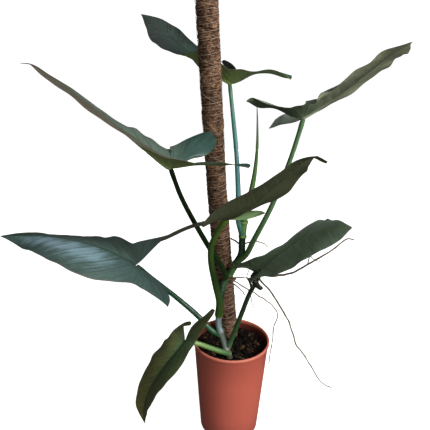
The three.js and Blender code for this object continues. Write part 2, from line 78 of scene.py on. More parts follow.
Point = tuple[float, float, float]
Colour = tuple[float, float, float]
Path = tuple[Point, ...]
Stops = tuple[tuple[float, Colour], ...]


def unit(vectors: np.ndarray) -> np.ndarray:
    """Returns the vectors of the last axis at length one."""
    return vectors / np.linalg.norm(vectors, axis=-1, keepdims=True)


def blend(low: float, high: float, share: np.ndarray | float) -> np.ndarray | float:
    """Returns the value at a share of the way from low to high."""
    return low + (high - low) * share


def once_round(sides: int) -> np.ndarray:
    """Returns that many angles, evenly spaced once round."""
    return np.linspace(0, 2 * np.pi, sides, endpoint=False)


def bell(distance: np.ndarray, width: float) -> np.ndarray:
    """Returns 1 at no distance, falling off like a bell of that width."""
    return np.exp(-((distance / width) ** 2))


def linear(red: int, green: int, blue: int) -> Colour:
    """Turns a colour as a screen shows it into the linear values that shaders use.

    Args:
        red: Its red, 0 to 255.
        green: Its green.
        blue: Its blue.

    Returns:
        Its linear values, 0 to 1.
    """
    shares = (value / 255 for value in (red, green, blue))
    return tuple(
        share / 12.92 if share <= 0.04045 else ((share + 0.055) / 1.055) ** 2.4 for share in shares
    )


def smooth_path(points: Sequence[Point], count: int) -> np.ndarray:
    """Runs a centripetal spline through points.

    Args:
        points: The points that it passes, in order.
        count: How many samples to return, equally far apart along it.

    Returns:
        The samples, one row each.
    """
    passed = np.array(points, float)
    ends = np.vstack([2 * passed[0] - passed[1], passed, 2 * passed[-1] - passed[-2]])
    knots = np.sqrt(np.linalg.norm(np.diff(ends, axis=0), axis=1))
    local = np.linspace(0, 1, SPLINE_STEPS)[:, None]
    pieces = []
    for i in range(len(passed) - 1):
        before, start, end, after = ends[i : i + 4]
        d0, d1, d2 = np.maximum(knots[i : i + 3], 1e-6)
        leave = ((start - before) / d0 - (end - before) / (d0 + d1) + (end - start) / d1) * d1
        arrive = ((end - start) / d1 - (after - start) / (d1 + d2) + (after - end) / d2) * d1
        pieces.append(hermite(start, end, leave, arrive, local))
    fine = np.vstack(pieces)
    gone = np.concatenate([[0], np.cumsum(np.linalg.norm(np.diff(fine, axis=0), axis=1))])
    wanted = np.linspace(0, gone[-1], count)
    return np.stack([np.interp(wanted, gone, fine[:, k]) for k in range(3)], axis=1)


def hermite(
    start: np.ndarray, end: np.ndarray, leave: np.ndarray, arrive: np.ndarray, t: np.ndarray
) -> np.ndarray:
    """Samples one span of a spline.

    Args:
        start: Its first point.
        end: Its last point.
        leave: Its slope at the first point.
        arrive: Its slope at the last point.
        t: Where to sample it, from 0 to 1.

    Returns:
        The samples, one row each.
    """
    square = (3 * (end - start) - 2 * leave - arrive) * t**2
    return start + leave * t + square + (2 * (start - end) + leave + arrive) * t**3


def outline(points: Sequence[tuple[float, float]], shares: np.ndarray) -> np.ndarray:
    """Runs an even spline through plane points.

    Args:
        points: The points that it passes, in order.
        shares: Where to sample it, from 0 at the first point to 1 at the last.

    Returns:
        The samples, one row each.
    """
    passed = np.array(points, float)
    last = len(passed) - 1
    place = np.clip(shares, 0, 1) * last
    index = np.minimum(place.astype(int), last - 1)
    before, start = passed[np.maximum(index - 1, 0)], passed[index]
    end, after = passed[index + 1], passed[np.minimum(index + 2, last)]
    return hermite(start, end, (end - before) / 2, (after - start) / 2, (place - index)[:, None])


def bezier(controls: np.ndarray, shares: np.ndarray) -> np.ndarray:
    """Samples a cubic Bezier curve.

    Args:
        controls: Its four control points.
        shares: Where to sample it, from 0 to 1.

    Returns:
        The samples, in the shares' own layout.
    """
    t = shares[..., None]
    rest = 1 - t
    first, second, third, fourth = controls
    return rest**3 * first + 3 * rest**2 * t * second + 3 * rest * t**2 * third + t**3 * fourth


def frames_along(path: np.ndarray) -> tuple[np.ndarray, np.ndarray]:
    """Finds two crosswise directions along a path that never spin about it.

    Args:
        path: The path's points, one row each.

    Returns:
        The first and the second direction at each point.
    """
    tangents = unit(np.gradient(path, axis=0))
    helper = np.array([1.0, 0, 0]) if abs(tangents[0, 0]) < 0.8 else np.array([0, 1.0, 0])
    firsts = np.zeros_like(path)
    firsts[0] = unit(np.cross(tangents[0], helper))
    for i in range(1, len(path)):
        kept = firsts[i - 1] - tangents[i] * np.dot(firsts[i - 1], tangents[i])
        firsts[i] = unit(kept)
    return firsts, np.cross(tangents, firsts)


def rough_grid(rng: np.random.Generator, rows: int, columns: int, passes: int) -> np.ndarray:
    """Makes smooth noise on a grid whose columns close on themselves.

    Args:
        rng: The seeded source of the noise.
        rows: The grid's rows.
        columns: The grid's columns.
        passes: How often it is smoothed.

    Returns:
        The noise, with a mean of 0 and a spread of 1.
    """
    grid = rng.normal(size=(rows, columns))
    for _ in range(passes):
        grid = (2 * grid + np.roll(grid, 1, 1) + np.roll(grid, -1, 1)) / 4
        padded = np.vstack([grid[:1], grid, grid[-1:]])
        grid = (2 * grid + padded[:-2] + padded[2:]) / 4
    return (grid - grid.mean()) / grid.std()


class Signal:
    """An output of a shader tree, with the arithmetic that the finishes use on numbers."""

    def __init__(self, shader: Shader, socket: bpy.types.NodeSocket) -> None:
        """Wraps a socket of a shader."""
        self.shader = shader
        self.socket = socket

    def maths(self, operation: str, *terms: Signal | float) -> Signal:
        """Returns a Math node's result for the terms."""
        return self.shader.node("ShaderNodeMath", {"operation": operation}, dict(enumerate(terms)))

    def __add__(self, other: Signal | float) -> Signal:
        """Returns self + other."""
        return self.maths("ADD", self, other)

    __radd__ = __add__

    def __sub__(self, other: Signal | float) -> Signal:
        """Returns self - other."""
        return self.maths("SUBTRACT", self, other)

    def __rsub__(self, other: float) -> Signal:
        """Returns other - self."""
        return self.maths("SUBTRACT", other, self)

    def __mul__(self, other: Signal | float) -> Signal:
        """Returns self * other."""
        return self.maths("MULTIPLY", self, other)

    __rmul__ = __mul__

    def clamped(self) -> Signal:
        """Returns self held between 0 and 1."""
        return self.maths("MINIMUM", self.maths("MAXIMUM", self, 0.0), 1.0)

    def near_whole(self, width: float) -> Signal:
        """Returns 1 where self is a whole number, falling to 0 at width from it."""
        return (1 - self.maths("PINGPONG", self, 0.5) * (1 / width)).clamped()


Term = Signal | float | Colour | Point


class Shader:
    """One material under construction."""

    def __init__(self, name: str) -> None:
        """Makes an empty material.

        Args:
            name: Its name.
        """
        self.material = bpy.data.materials.new(name)
        self.material.use_nodes = True
        self.tree = self.material.node_tree
        self.tree.nodes.clear()

    def node(
        self,
        kind: str,
        settings: dict[str, object] | None = None,
        sockets: dict[str | int, Term] | None = None,
        output: str | int = 0,
    ) -> Signal:
        """Adds a node.

        Args:
            kind: The node's type.
            settings: Its own settings, set first; "stops" are a ramp's places and colours.
            sockets: Its inputs by name or number, each a value or a signal to link.
            output: The output that is wanted, by name or number.

        Returns:
            That output, or the first input of a node that has no output.
        """
        made = self.tree.nodes.new(kind)
        for key, value in (settings or {}).items():
            if key == "stops":
                self._set_stops(made.color_ramp, value)
            else:
                setattr(made, key, value)
        for key, value in (sockets or {}).items():
            socket = made.inputs[key]
            if isinstance(value, Signal):
                self.tree.links.new(value.socket, socket)
            elif socket.type == "RGBA":
                socket.default_value = (*value, 1.0)
            else:
                socket.default_value = value
        return Signal(self, made.outputs[output] if len(made.outputs) else made.inputs[0])

    @staticmethod
    def _set_stops(ramp: bpy.types.ColorRamp, stops: Stops) -> None:
        """Fills in a ramp.

        Args:
            ramp: The ramp.
            stops: The places on it and their colours.
        """
        while len(ramp.elements) < len(stops):
            ramp.elements.new(0.5)
        for element, (place, colour) in zip(ramp.elements, stops, strict=True):
            element.position = place
            element.color = (*colour, 1.0)

    def value_of(self, attribute: str) -> Signal:
        """Returns a number that the mesh carries at its points."""
        return self.node("ShaderNodeAttribute", {"attribute_name": attribute}, output="Fac")

    def place(self) -> Signal:
        """Returns the surface point in the part's frame, in metres."""
        return self.node("ShaderNodeTexCoord", output="Object")

    def stretched(self, by: Point) -> Signal:
        """Returns the surface point with each axis multiplied by that much."""
        sockets = {0: self.place(), 1: by}
        return self.node("ShaderNodeVectorMath", {"operation": "MULTIPLY"}, sockets, "Vector")

    def noise(self, scale: float, detail: float = 3.0, vector: Signal | None = None) -> Signal:
        """Adds noise.

        Args:
            scale: Its cells to each unit of the vector.
            detail: How many finer layers it has.
            vector: Where it is read, or None for the surface point.

        Returns:
            The noise, from 0 to 1.
        """
        sockets = {"Scale": scale, "Detail": detail}
        sockets["Vector"] = vector or self.place()
        return self.node("ShaderNodeTexNoise", None, sockets, "Fac")

    def strands(self, scales: Point, detail: float) -> Signal:
        """Returns noise from 0 to 1 with its own scale on each axis, which draws its cells out."""
        return self.noise(1, detail, self.stretched(scales))

    def ramp(self, factor: Signal, stops: Stops) -> Signal:
        """Returns the colour of a ramp at a factor."""
        return self.node("ShaderNodeValToRGB", {"stops": stops}, {"Fac": factor}, "Color")

    def mix(self, factor: Signal | float, first: Term, second: Term, way: str = "MIX") -> Signal:
        """Mixes two colours.

        Args:
            factor: How far the result goes from the first colour.
            first: The first colour.
            second: The second colour.
            way: How the second one acts on the first.

        Returns:
            The mixed colour.
        """
        settings = {"data_type": "RGBA", "blend_type": way}
        return self.node("ShaderNodeMix", settings, {0: factor, 6: first, 7: second}, 2)

    def bump(self, height: Signal, relief: float, strength: float = 1.0) -> Signal:
        """Bends the normal.

        Args:
            height: The height over the surface.
            relief: What a height of 1 stands for.
            strength: How much of the bend is used.

        Returns:
            The bent normal.
        """
        sockets = {"Height": height, "Distance": relief, "Strength": strength}
        return self.node("ShaderNodeBump", None, sockets, "Normal")

    def finish(
        self, colour: Term, roughness: Term, specular: float = 0.5, **others: Term
    ) -> bpy.types.Material:
        """Ends the material in a Principled BSDF.

        Args:
            colour: Its base colour.
            roughness: Its roughness.
            specular: Its specular level.
            **others: More of its inputs, with an underscore for each space in a name.

        Returns:
            The finished material.
        """
        sockets = {"Base Color": colour, "Roughness": roughness, "Specular IOR Level": specular}
        sockets |= {key.replace("_", " "): value for key, value in others.items()}
        skin = self.node("ShaderNodeBsdfPrincipled", None, sockets, "BSDF")
        self.node("ShaderNodeOutputMaterial", None, {"Surface": skin})
        return self.material


@dataclass(frozen=True)
class PotPlastic:
    """Terracotta-coloured plastic with a faint grain and the marks of handling.

    The mesh carries "inside", 1 on the inner wall below the rim, where the wall is painted darker as shade,
    and "lip", 1 on the lip, where the lip is painted lighter as a highlight.
    """

    colour: Colour = linear(204, 104, 86)
    worn: Colour = linear(190, 92, 74)
    # Painted shade on the inner wall below the rim.
    inner_shade: Colour = linear(98, 36, 27)
    # Painted highlight on the lip.
    edge: Colour = linear(226, 132, 110)
    cloud_scale: float = 18.0
    streak_scales: Point = (420.0, 420.0, 14.0)
    grain_scale: float = 1500.0
    roughness: float = 0.42
    relief: float = 0.00012
    specular: float = 0.45

    def material(self) -> bpy.types.Material:
        """Makes the material.

        Returns:
            The finished material.
        """
        shader = Shader("pot_plastic")
        inside = shader.value_of("inside")
        cloud = shader.noise(self.cloud_scale, 4)
        streak = shader.strands(self.streak_scales, 4)
        grain = shader.noise(self.grain_scale, 2)
        colour = shader.mix((cloud * 0.6 + streak * 0.4).clamped(), self.colour, self.worn)
        # Painted highlight: the lip is painted lighter.
        colour = shader.mix((shader.value_of("lip") * (0.4 + cloud * 0.6)).clamped(), colour, self.edge)
        # Painted shade: the inner wall below the rim is painted darker.
        colour = shader.mix((inside * (0.8 + cloud * 0.4)).clamped(), colour, self.inner_shade)
        rough = self.roughness + cloud * 0.12 + streak * 0.06 + inside * 0.2
        normal = shader.bump(grain * 0.5 + streak * 0.5, self.relief, 0.5)
        return shader.finish(colour, rough, self.specular, Normal=normal)


@dataclass(frozen=True)
class BarkMix:
    """Moist bark and peat; each bit carries its own "tone"."""

    dark: Colour = linear(15, 11, 7)
    brown: Colour = linear(66, 48, 32)
    pale: Colour = linear(126, 94, 68)
    fine_scale: float = 900.0
    roughness: float = 0.62
    relief: float = 0.0006
    specular: float = 0.15

    def material(self) -> bpy.types.Material:
        """Makes the material.

        Returns:
            The finished material.
        """
        shader = Shader("bark_mix")
        tone = shader.value_of("tone")
        fine = shader.noise(self.fine_scale, 5)
        level = (tone * 0.8 + fine * 0.35 - 0.08).clamped()
        stops = ((0.0, self.dark), (0.45, self.dark), (0.72, self.brown), (1.0, self.pale))
        colour = shader.ramp(level, stops)
        normal = shader.bump(fine, self.relief, 0.9)
        rough = self.roughness + fine * 0.3
        return shader.finish(colour, rough, self.specular, Normal=normal)


@dataclass(frozen=True)
class CoirFelt:
    """Matted coconut fibre: strands in a few browns over dark gaps, lighter with the mesh's "tone"."""

    name: str = "coir_felt"
    gap: Colour = linear(31, 19, 14)
    brown: Colour = linear(86, 61, 47)
    pale: Colour = linear(164, 129, 100)
    strand_scales: Point = (150.0, 150.0, 760.0)
    cross_scales: Point = (800.0, 800.0, 300.0)
    crumb_scale: float = 640.0
    cloud_scale: float = 42.0
    middle_level: float = 1.21
    contrast: float = 1.9
    roughness: float = 0.92
    relief: float = 0.0014
    specular: float = 0.2

    def material(self) -> bpy.types.Material:
        """Makes the material.

        Returns:
            The finished material.
        """
        shader = Shader(self.name)
        tone = shader.value_of("tone")
        strands = shader.strands(self.strand_scales, 6)
        cross = shader.strands(self.cross_scales, 6)
        crumb = shader.noise(self.crumb_scale, 5)
        cloud = shader.noise(self.cloud_scale, 3)
        # On the felt, "tone" paints shade: it is darker where the felt dips and where the twine pinches it;
        # on the fibres it is their own tone.
        level = strands * 0.95 + cross * 0.35 + crumb * 0.7 + cloud * 0.12 + tone * 0.3
        level = ((level - self.middle_level) * self.contrast + 0.5).clamped()
        colour = shader.ramp(level, ((0.12, self.gap), (0.5, self.brown), (0.9, self.pale)))
        normal = shader.bump(strands * 0.4 + cross * 0.3 + crumb * 0.3, self.relief)
        return shader.finish(colour, self.roughness, self.specular, Normal=normal)


@dataclass(frozen=True)
class SpunThread:
    """The pale twine that binds the coir."""

    colour: Colour = linear(193, 171, 143)
    dirty: Colour = linear(104, 79, 61)
    cloud_scale: float = 120.0
    ply_scales: Point = (2200.0, 2200.0, 900.0)
    roughness: float = 0.85
    relief: float = 0.0003

    def material(self) -> bpy.types.Material:
        """Makes the material.

        Returns:
            The finished material.
        """
        shader = Shader("spun_thread")
        cloud = shader.noise(self.cloud_scale, 3)
        plies = shader.strands(self.ply_scales, 2)
        colour = shader.mix((cloud * 1.7 - 0.4).clamped(), self.colour, self.dirty)
        normal = shader.bump(plies, self.relief, 0.7)
        return shader.finish(colour, self.roughness, Normal=normal)


@dataclass(frozen=True)
class Softwood:
    """Sawn softwood with grain along Z."""

    early: Colour = linear(196, 160, 114)
    late: Colour = linear(146, 108, 70)
    grain_scales: Point = (520.0, 520.0, 16.0)
    roughness: float = 0.7
    relief: float = 0.0004

    def material(self) -> bpy.types.Material:
        """Makes the material.

        Returns:
            The finished material.
        """
        shader = Shader("softwood")
        grain = shader.strands(self.grain_scales, 6)
        colour = shader.ramp(grain, ((0.35, self.early), (0.65, self.late)))
        normal = shader.bump(grain, self.relief, 0.5)
        return shader.finish(colour, self.roughness, Normal=normal)


@dataclass(frozen=True)
class StalkSkin:
    """The waxy skin of a stalk, a stem or the rolled leaf, whose colour changes along it.

    The mesh carries "along", 0 at its foot and 1 at its end, and "ring", the share of leaf scar.
    """

    name: str
    stops: Stops
    specks: float = 0.5
    roughness: float = 0.24
    speck: Colour = linear(196, 208, 168)
    scar: Colour = linear(150, 128, 96)
    shadow: Colour = (0.6, 0.62, 0.6)
    streak_scales: Point = (700.0, 700.0, 70.0)
    cloud_scale: float = 70.0
    speck_scale: float = 420.0
    speck_stretch: Point = (1.0, 1.0, 0.4)
    relief: float = 0.0003
    specular: float = 0.5

    def material(self) -> bpy.types.Material:
        """Makes the material.

        Returns:
            The finished material.
        """
        shader = Shader(self.name)
        along = shader.value_of("along")
        streak = shader.strands(self.streak_scales, 4)
        cloud = shader.noise(self.cloud_scale, 4)
        ring = shader.value_of("ring")
        shift = (along + (cloud - 0.5) * 0.03).clamped()
        colour = shader.ramp(shift, self.stops)
        colour = shader.mix((streak * 1.8 - 0.5).clamped(), colour, self.shadow, "MULTIPLY")
        dots = shader.node(
            "ShaderNodeTexVoronoi",
            {"feature": "F1"},
            {"Vector": shader.stretched(self.speck_stretch), "Scale": self.speck_scale},
            "Distance",
        )
        colour = shader.mix((1 - dots * 5.5).clamped() * self.specks, colour, self.speck)
        colour = shader.mix(ring, colour, self.scar)
        normal = shader.bump(streak * 0.7 + cloud * 0.3, self.relief, 0.45)
        rough = self.roughness + streak * 0.14 + ring * 0.25
        return shader.finish(colour, rough, self.specular, Normal=normal)


@dataclass(frozen=True)
class RootSkin:
    """The dry, slightly scurfy skin of an aerial root, from one colour at its foot to one at its tip."""

    name: str
    near: Colour
    far: Colour
    scurf_scale: float = 420.0
    roughness: float = 0.72
    relief: float = 0.0006

    def material(self) -> bpy.types.Material:
        """Makes the material.

        Returns:
            The finished material.
        """
        shader = Shader(self.name)
        along = shader.value_of("along")
        scurf = shader.noise(self.scurf_scale, 4)
        shift = (along + (scurf - 0.5) * 0.7).clamped()
        colour = shader.mix(shift, self.near, self.far)
        normal = shader.bump(scurf, self.relief, 0.6)
        return shader.finish(colour, self.roughness, Normal=normal)


class BladeSide(Enum):
    """The two sides of a leaf blade."""

    UPPER = "upper"
    UNDER = "under"


RIB_GREEN = linear(34, 52, 30)


@dataclass(frozen=True)
class BladeSkin:
    """One side of a blade: satin and silvery above, duller with paler veins below.

    The mesh carries "vein", whole numbers of which are side veins, "rib", 0 on the midrib's middle and 1
    at its flank, "edge", 0 on the midrib and 1 on the margin, "dusk", the share of the dusk colour, which
    paints light and shade, "lobe", 0 ahead of the stalk and 1 in the lobes, and "gleam", the share of
    silver, partly the leaf's own and partly a painted highlight. The streaks run along the side veins, and
    their cells are counted from vein to vein.
    """

    name: str
    side: BladeSide
    colour: Colour
    dusk: Colour
    lobe: Colour
    rib: Colour
    vein: Colour
    shine: float = 0.4
    side_vein: Colour = RIB_GREEN
    # The leaf's own silver, which also paints its highlight.
    silver: Colour = linear(128, 158, 168)
    rim: Colour = linear(118, 104, 80)
    shadow: Colour = (0.4, 0.44, 0.4)
    cloud_scale: float = 26.0
    mottle_scale: float = 230.0
    grain_scale: float = 2600.0
    streak_cells: tuple[float, float, float] = (1.5, 4.5, 15.0)
    minor_veins: float = 5.0
    margin_band: float = 0.035
    relief: float = 0.0009

    def streaks(self, shader: Shader, phase: Signal, edge: Signal, cells: float) -> Signal:
        """Adds noise drawn out along the side veins.

        Args:
            shader: The shader that it goes in.
            phase: The "vein" value.
            edge: The "edge" value.
            cells: Its cells from vein to vein.

        Returns:
            The noise, from 0 to 1.
        """
        sockets = {"X": phase * cells, "Y": edge * 2.0}
        return shader.noise(1.0, 4, shader.node("ShaderNodeCombineXYZ", None, sockets, "Vector"))

    def material(self) -> bpy.types.Material:
        """Makes the material.

        Returns:
            The finished material.
        """
        shader = Shader(self.name)
        keys = ("vein", "rib", "edge", "dusk", "lobe", "gleam")
        phase, rib, edge, dusk, lobe, gleam = (shader.value_of(key) for key in keys)
        upper = self.side is BladeSide.UPPER
        vein_width, vein_depth, vein_sign, vein_tint = (
            (0.075, 0.9, -1.0, 0.75) if upper else (0.055, 0.4, 1.0, 0.45)
        )
        cloud = shader.noise(self.cloud_scale, 4)
        mottle = shader.noise(self.mottle_scale, 5)
        grain = shader.noise(self.grain_scale, 2)
        broad, middle, fine = (
            self.streaks(shader, phase, edge, cells) for cells in self.streak_cells
        )
        fade = (1.1 - edge) * (rib * 0.6).clamped()
        lateral = (phase + (cloud - 0.5) * 0.3).near_whole(vein_width) * fade
        minor = (phase * self.minor_veins + cloud * 0.8).near_whole(0.2) * fade
        # Painted light and shade: one half, the tip and the margin are painted darker on some blades and
        # lighter on others.
        clouded = dusk + (cloud - 0.5) * 0.6 + (broad - 0.5) * 0.8
        colour = shader.mix(clouded.clamped(), self.colour, self.dusk)
        colour = shader.mix((lobe + (broad - 0.5) * 0.4).clamped(), colour, self.lobe)
        shade = (1.5 - middle * 1.2 - fine * 0.7 - mottle * 0.5).clamped()
        colour = shader.mix(shade * 0.8, colour, self.shadow, "MULTIPLY")
        if upper:
            # Painted highlight, partly the leaf's own silver: silver patches on the upper side.
            silver_and_highlight_patch = (broad * 2.6 + middle * 2.2 + mottle * 0.6 + gleam - 2.75).clamped() * gleam
            colour = shader.mix((silver_and_highlight_patch * 1.3).clamped(), colour, self.silver)
        light = (fine * 1.6 + mottle * 0.8 - 1.25).clamped() * 0.6 + minor * 0.1
        colour = shader.mix(light.clamped(), colour, self.vein)
        colour = shader.mix(lateral * vein_tint, colour, self.side_vein if upper else self.vein)
        colour = shader.mix((1.2 - rib).clamped() * 0.85, colour, self.rib)
        colour = shader.mix(((edge - (1 - self.margin_band)) * 40).clamped() * 0.6, colour, self.rim)
        veins = (lateral * vein_depth + minor * 0.25) * vein_sign
        height = veins + fine * 0.4 + mottle * 0.14 + grain * 0.05
        normal = shader.bump(height, self.relief, 0.75)
        rough = (0.3 if upper else 0.44) + mottle * 0.12 + broad * 0.14
        return shader.finish(colour, rough, self.shine, Normal=normal)


@dataclass
class Skin:
    """A mesh under construction: parts of points and faces, with the values that its points carry."""

    points: list[np.ndarray] = field(default_factory=list)
    faces: list[np.ndarray] = field(default_factory=list)
    finishes: list[np.ndarray] = field(default_factory=list)
    values: dict[str, list[np.ndarray]] = field(default_factory=dict)
    count: int = 0

    def add(
        self,
        points: np.ndarray,
        faces: Sequence[np.ndarray],
        finish: int = 0,
        **values: np.ndarray | float,
    ) -> Skin:
        """Adds a part.

        Args:
            points: Its points, one row each.
            faces: Arrays of its faces, each array with rows of one length.
            finish: The number of its material.
            **values: What its points carry, one number for each point or one for all.

        Returns:
            The mesh itself.
        """
        for group in faces:
            self.faces.append(np.asarray(group, int) + self.count)
            self.finishes.append(np.full(len(group), finish, int))
        self.points.append(points)
        for key, value in values.items():
            self.values.setdefault(key, []).append(np.broadcast_to(value, len(points)))
        self.count += len(points)
        return self

    def build(
        self, name: str, slot: str, materials: Sequence[bpy.types.Material], sharp: float = 60.0
    ) -> bpy.types.Object:
        """Makes the piece, smooth but for the edges sharper than an angle, and rides it on the body.

        Args:
            name: The piece's name.
            slot: The record's material slot that it belongs to; it is not used.
            materials: Its materials, in the order of the finishes.
            sharp: The angle in degrees.

        Returns:
            The new object.
        """
        mesh = bpy.data.meshes.new(name)
        points = np.vstack(self.points) * MM
        mesh.vertices.add(len(points))
        mesh.vertices.foreach_set("co", points.astype(np.float32).ravel())
        corners = np.concatenate([group.ravel() for group in self.faces])
        lengths = np.concatenate([np.full(len(group), group.shape[1]) for group in self.faces])
        mesh.loops.add(len(corners))
        mesh.loops.foreach_set("vertex_index", corners.astype(np.int32))
        mesh.polygons.add(len(lengths))
        starts = np.concatenate([[0], np.cumsum(lengths)[:-1]])
        mesh.polygons.foreach_set("loop_start", starts.astype(np.int32))
        mesh.polygons.foreach_set("material_index", np.concatenate(self.finishes).astype(np.int32))
        mesh.update(calc_edges=True)
        mesh.validate()
        for key, parts in self.values.items():
            attribute = mesh.attributes.new(key, "FLOAT", "POINT")
            attribute.data.foreach_set("value", np.concatenate(parts).astype(np.float32))
        mesh.shade_smooth()
        mesh.set_sharp_from_angle(angle=math.radians(sharp))
        for material in materials:
            mesh.materials.append(material)
        piece = bpy.data.objects.new(name, mesh)
        bpy.context.scene.collection.objects.link(piece)
        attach(piece, BODY)
        LOG.info("%s: %d faces", name, len(lengths))
        return piece


def ring_faces(rings: int, sides: int) -> list[np.ndarray]:
    """Numbers the faces of a closed skin of rings that has one more point past each end.

    Args:
        rings: How many rings, whose points come first.
        sides: How many points each has.

    Returns:
        The quads between the rings, and the triangles that close the first and the last one.
    """
    grid = np.arange(rings * sides).reshape(rings, sides)
    turned = np.roll(grid, -1, axis=1)
    quads = np.stack([grid[:-1], turned[:-1], turned[1:], grid[1:]], axis=-1).reshape(-1, 4)
    first, last = rings * sides, rings * sides + 1
    start = np.stack([np.full(sides, first), turned[0], grid[0]], axis=-1)
    end = np.stack([np.full(sides, last), grid[-1], turned[-1]], axis=-1)
    return [quads, np.vstack([start, end])]


def tube(path: np.ndarray, radii: np.ndarray) -> tuple[np.ndarray, list[np.ndarray]]:
    """Makes a closed tube.

    Args:
        path: Its middle line, one row a ring.
        radii: Its radius at each ring and side, rows by sides.

    Returns:
        Its points and its faces.
    """
    rings, sides = radii.shape
    firsts, seconds = frames_along(path)
    angles = once_round(sides)[None, :, None]
    ring = firsts[:, None] * np.cos(angles) + seconds[:, None] * np.sin(angles)
    points = (path[:, None] + ring * radii[:, :, None]).reshape(-1, 3)
    points = np.vstack([points, path[:1], path[-1:]])
    return points, ring_faces(rings, sides)


def on_rings(values: np.ndarray, sides: int, ends: tuple[float, float]) -> np.ndarray:
    """Returns one value a ring for each point of a tube, with the values of its two end points."""
    return np.concatenate([np.repeat(values, sides), ends])


def share_along(radii: np.ndarray) -> np.ndarray:
    """Returns how far along a tube with those radii each of its points lies, from 0 to 1."""
    return on_rings(np.linspace(0, 1, len(radii)), radii.shape[1], (0.0, 1.0))


@dataclass(frozen=True)
class NurseryPot:
    """The tall pot: its wall, rounded lip, stepped foot and floor with drain holes."""

    height: float = 200.0
    rim_radius: float = 70.0
    lip_height: float = 5.0
    lip_depth: float = 1.8
    wall: float = 1.8
    floor: float = 2.4
    foot_radius: float = 47.0
    foot_height: float = 13.0
    step_radius: float = 54.5
    inner_shade_depth: float = 6.0
    drain_count: int = 6
    drain_radius: float = 4.5
    drain_ring: float = 31.0
    drain_sides: int = 20
    sides: int = 144
    sharp: float = 40.0

    def radius_at(self, z: np.ndarray | float) -> np.ndarray | float:
        """Returns the outer wall's radius at a height above the step."""
        share = (z - self.foot_height) / (self.height - self.foot_height)
        return blend(self.step_radius, self.rim_radius - self.lip_depth, share)

    def profile(self) -> list[tuple[float, float]]:
        """Lists the wall's section, with small steps for its rounded edges.

        Returns:
            Radius and height of its points, from the middle of the underside round to that of the floor.
        """
        height, rim = self.height, self.rim_radius
        under_lip = height - self.lip_height
        inner = rim - self.lip_depth - self.wall
        foot, step, z = self.foot_radius, self.step_radius, self.foot_height
        underside = [(0, 0), (foot - 2.4, 0), (foot - 0.9, 0.35), (foot - 0.15, 1.4)]
        ledge = [
            (foot + 1.0, z - 3), (foot + 1.5, z - 1.3), (foot + 2.6, z - 0.35), (step - 2.2, z),
            (step - 0.8, z + 0.5), (step, z + 1.8),
        ]
        outside = [(self.radius_at(level), level) for level in (60, 130, under_lip - 2.4)]
        lip = [
            (rim - 1.3, under_lip - 0.9), (rim - 0.35, under_lip), (rim, under_lip + 1.1),
            (rim, height - 1.6), (rim - 0.4, height - 0.5), (rim - 1.2, height), (inner + 1.3, height),
            (inner + 0.4, height - 0.4), (inner, height - 1.4),
        ]
        inside = [(self.radius_at(level) - self.wall, level) for level in (height - 8, 120)]
        bottom = [
            (step - self.wall, z + 3), (foot - self.wall, z), (foot - self.wall - 0.9, self.floor + 1),
            (foot - 4, self.floor), (0, self.floor),
        ]
        return underside + ledge + outside + lip + inside + bottom

    def build(self) -> None:
        """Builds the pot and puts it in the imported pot's place."""
        rows = np.array(self.profile()[1:-1], float)
        angles = once_round(self.sides)
        ring = np.stack([np.cos(angles), np.sin(angles)], axis=-1)
        flat = rows[:, None, :1] * ring[None]
        heights = np.broadcast_to(rows[:, None, 1:], (*flat.shape[:2], 1))
        points = np.concatenate([flat, heights], axis=-1).reshape(-1, 3)
        points = np.vstack([points, [[0, 0, 0], [0, 0, self.floor]]])
        z = points[:, 2]
        # The inner wall's painted shade fades in below the rim.
        below_rim = np.clip((self.height - 1.5 - z) / self.inner_shade_depth, 0, 1)
        within = np.hypot(points[:, 0], points[:, 1]) < self.radius_at(z) - self.wall / 2
        inside = below_rim * within
        # Where the lip's painted highlight goes.
        lip = np.clip((z - self.height + self.lip_height - 0.5) / 1.5, 0, 1) * (1 - inside)
        skin = Skin().add(points, ring_faces(len(rows), self.sides), inside=inside, lip=lip)
        pot = skin.build("nursery_pot", "pot", [PotPlastic().material()], self.sharp)
        self.drill(pot)
        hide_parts("pot")

    def drill(self, pot: bpy.types.Object) -> None:
        """Cuts the drain holes through the floor.

        Args:
            pot: The pot, whose mesh is changed.
        """
        cutter = Skin()
        for number in range(self.drain_count):
            angle = 2 * math.pi * (number + 0.5) / self.drain_count
            centre = np.array([math.cos(angle), math.sin(angle), 0]) * self.drain_ring
            line = centre + np.array([[0, 0, -3.0], [0, 0, self.floor + 3]])
            radii = np.full((2, self.drain_sides), self.drain_radius)
            cutter.add(*tube(line, radii), inside=1.0, lip=0.0)
        tool = cutter.build("drain_cutter", "pot", [])
        modifier = pot.modifiers.new("drain", "BOOLEAN")
        modifier.operation = "DIFFERENCE"
        modifier.solver = "EXACT"
        modifier.object = tool
        graph = bpy.context.evaluated_depsgraph_get()
        cut = bpy.data.meshes.new_from_object(pot.evaluated_get(graph))
        pot.modifiers.clear()
        pot.data = cut
        bpy.data.objects.remove(tool)


@dataclass(frozen=True)
class PoleLine:
    """The middle line of the pole, which leans to the left and to the front."""

    soil: Point = (-3, 40, 185)
    middle: Point = (-32, -3, 490)
    top: Point = (-53, -45, 795)
    samples: int = 200

    def between(self, low: float, high: float, count: int) -> np.ndarray:
        """Follows the line, and runs straight on below the soil.

        Args:
            low: The height to start at.
            high: The height to end at.
            count: How many points to return, equally far apart in height.

        Returns:
            The points, one row each.
        """
        line = smooth_path([self.soil, self.middle, self.top], self.samples)
        heights = np.linspace(low, high, count)
        slope = (line[1] - line[0]) / (line[1, 2] - line[0, 2])
        points = np.stack([np.interp(heights, line[:, 2], line[:, k]) for k in range(3)], axis=1)
        below = heights < line[0, 2]
        points[below] = line[0] + (heights[below] - line[0, 2])[:, None] * slope
        return points


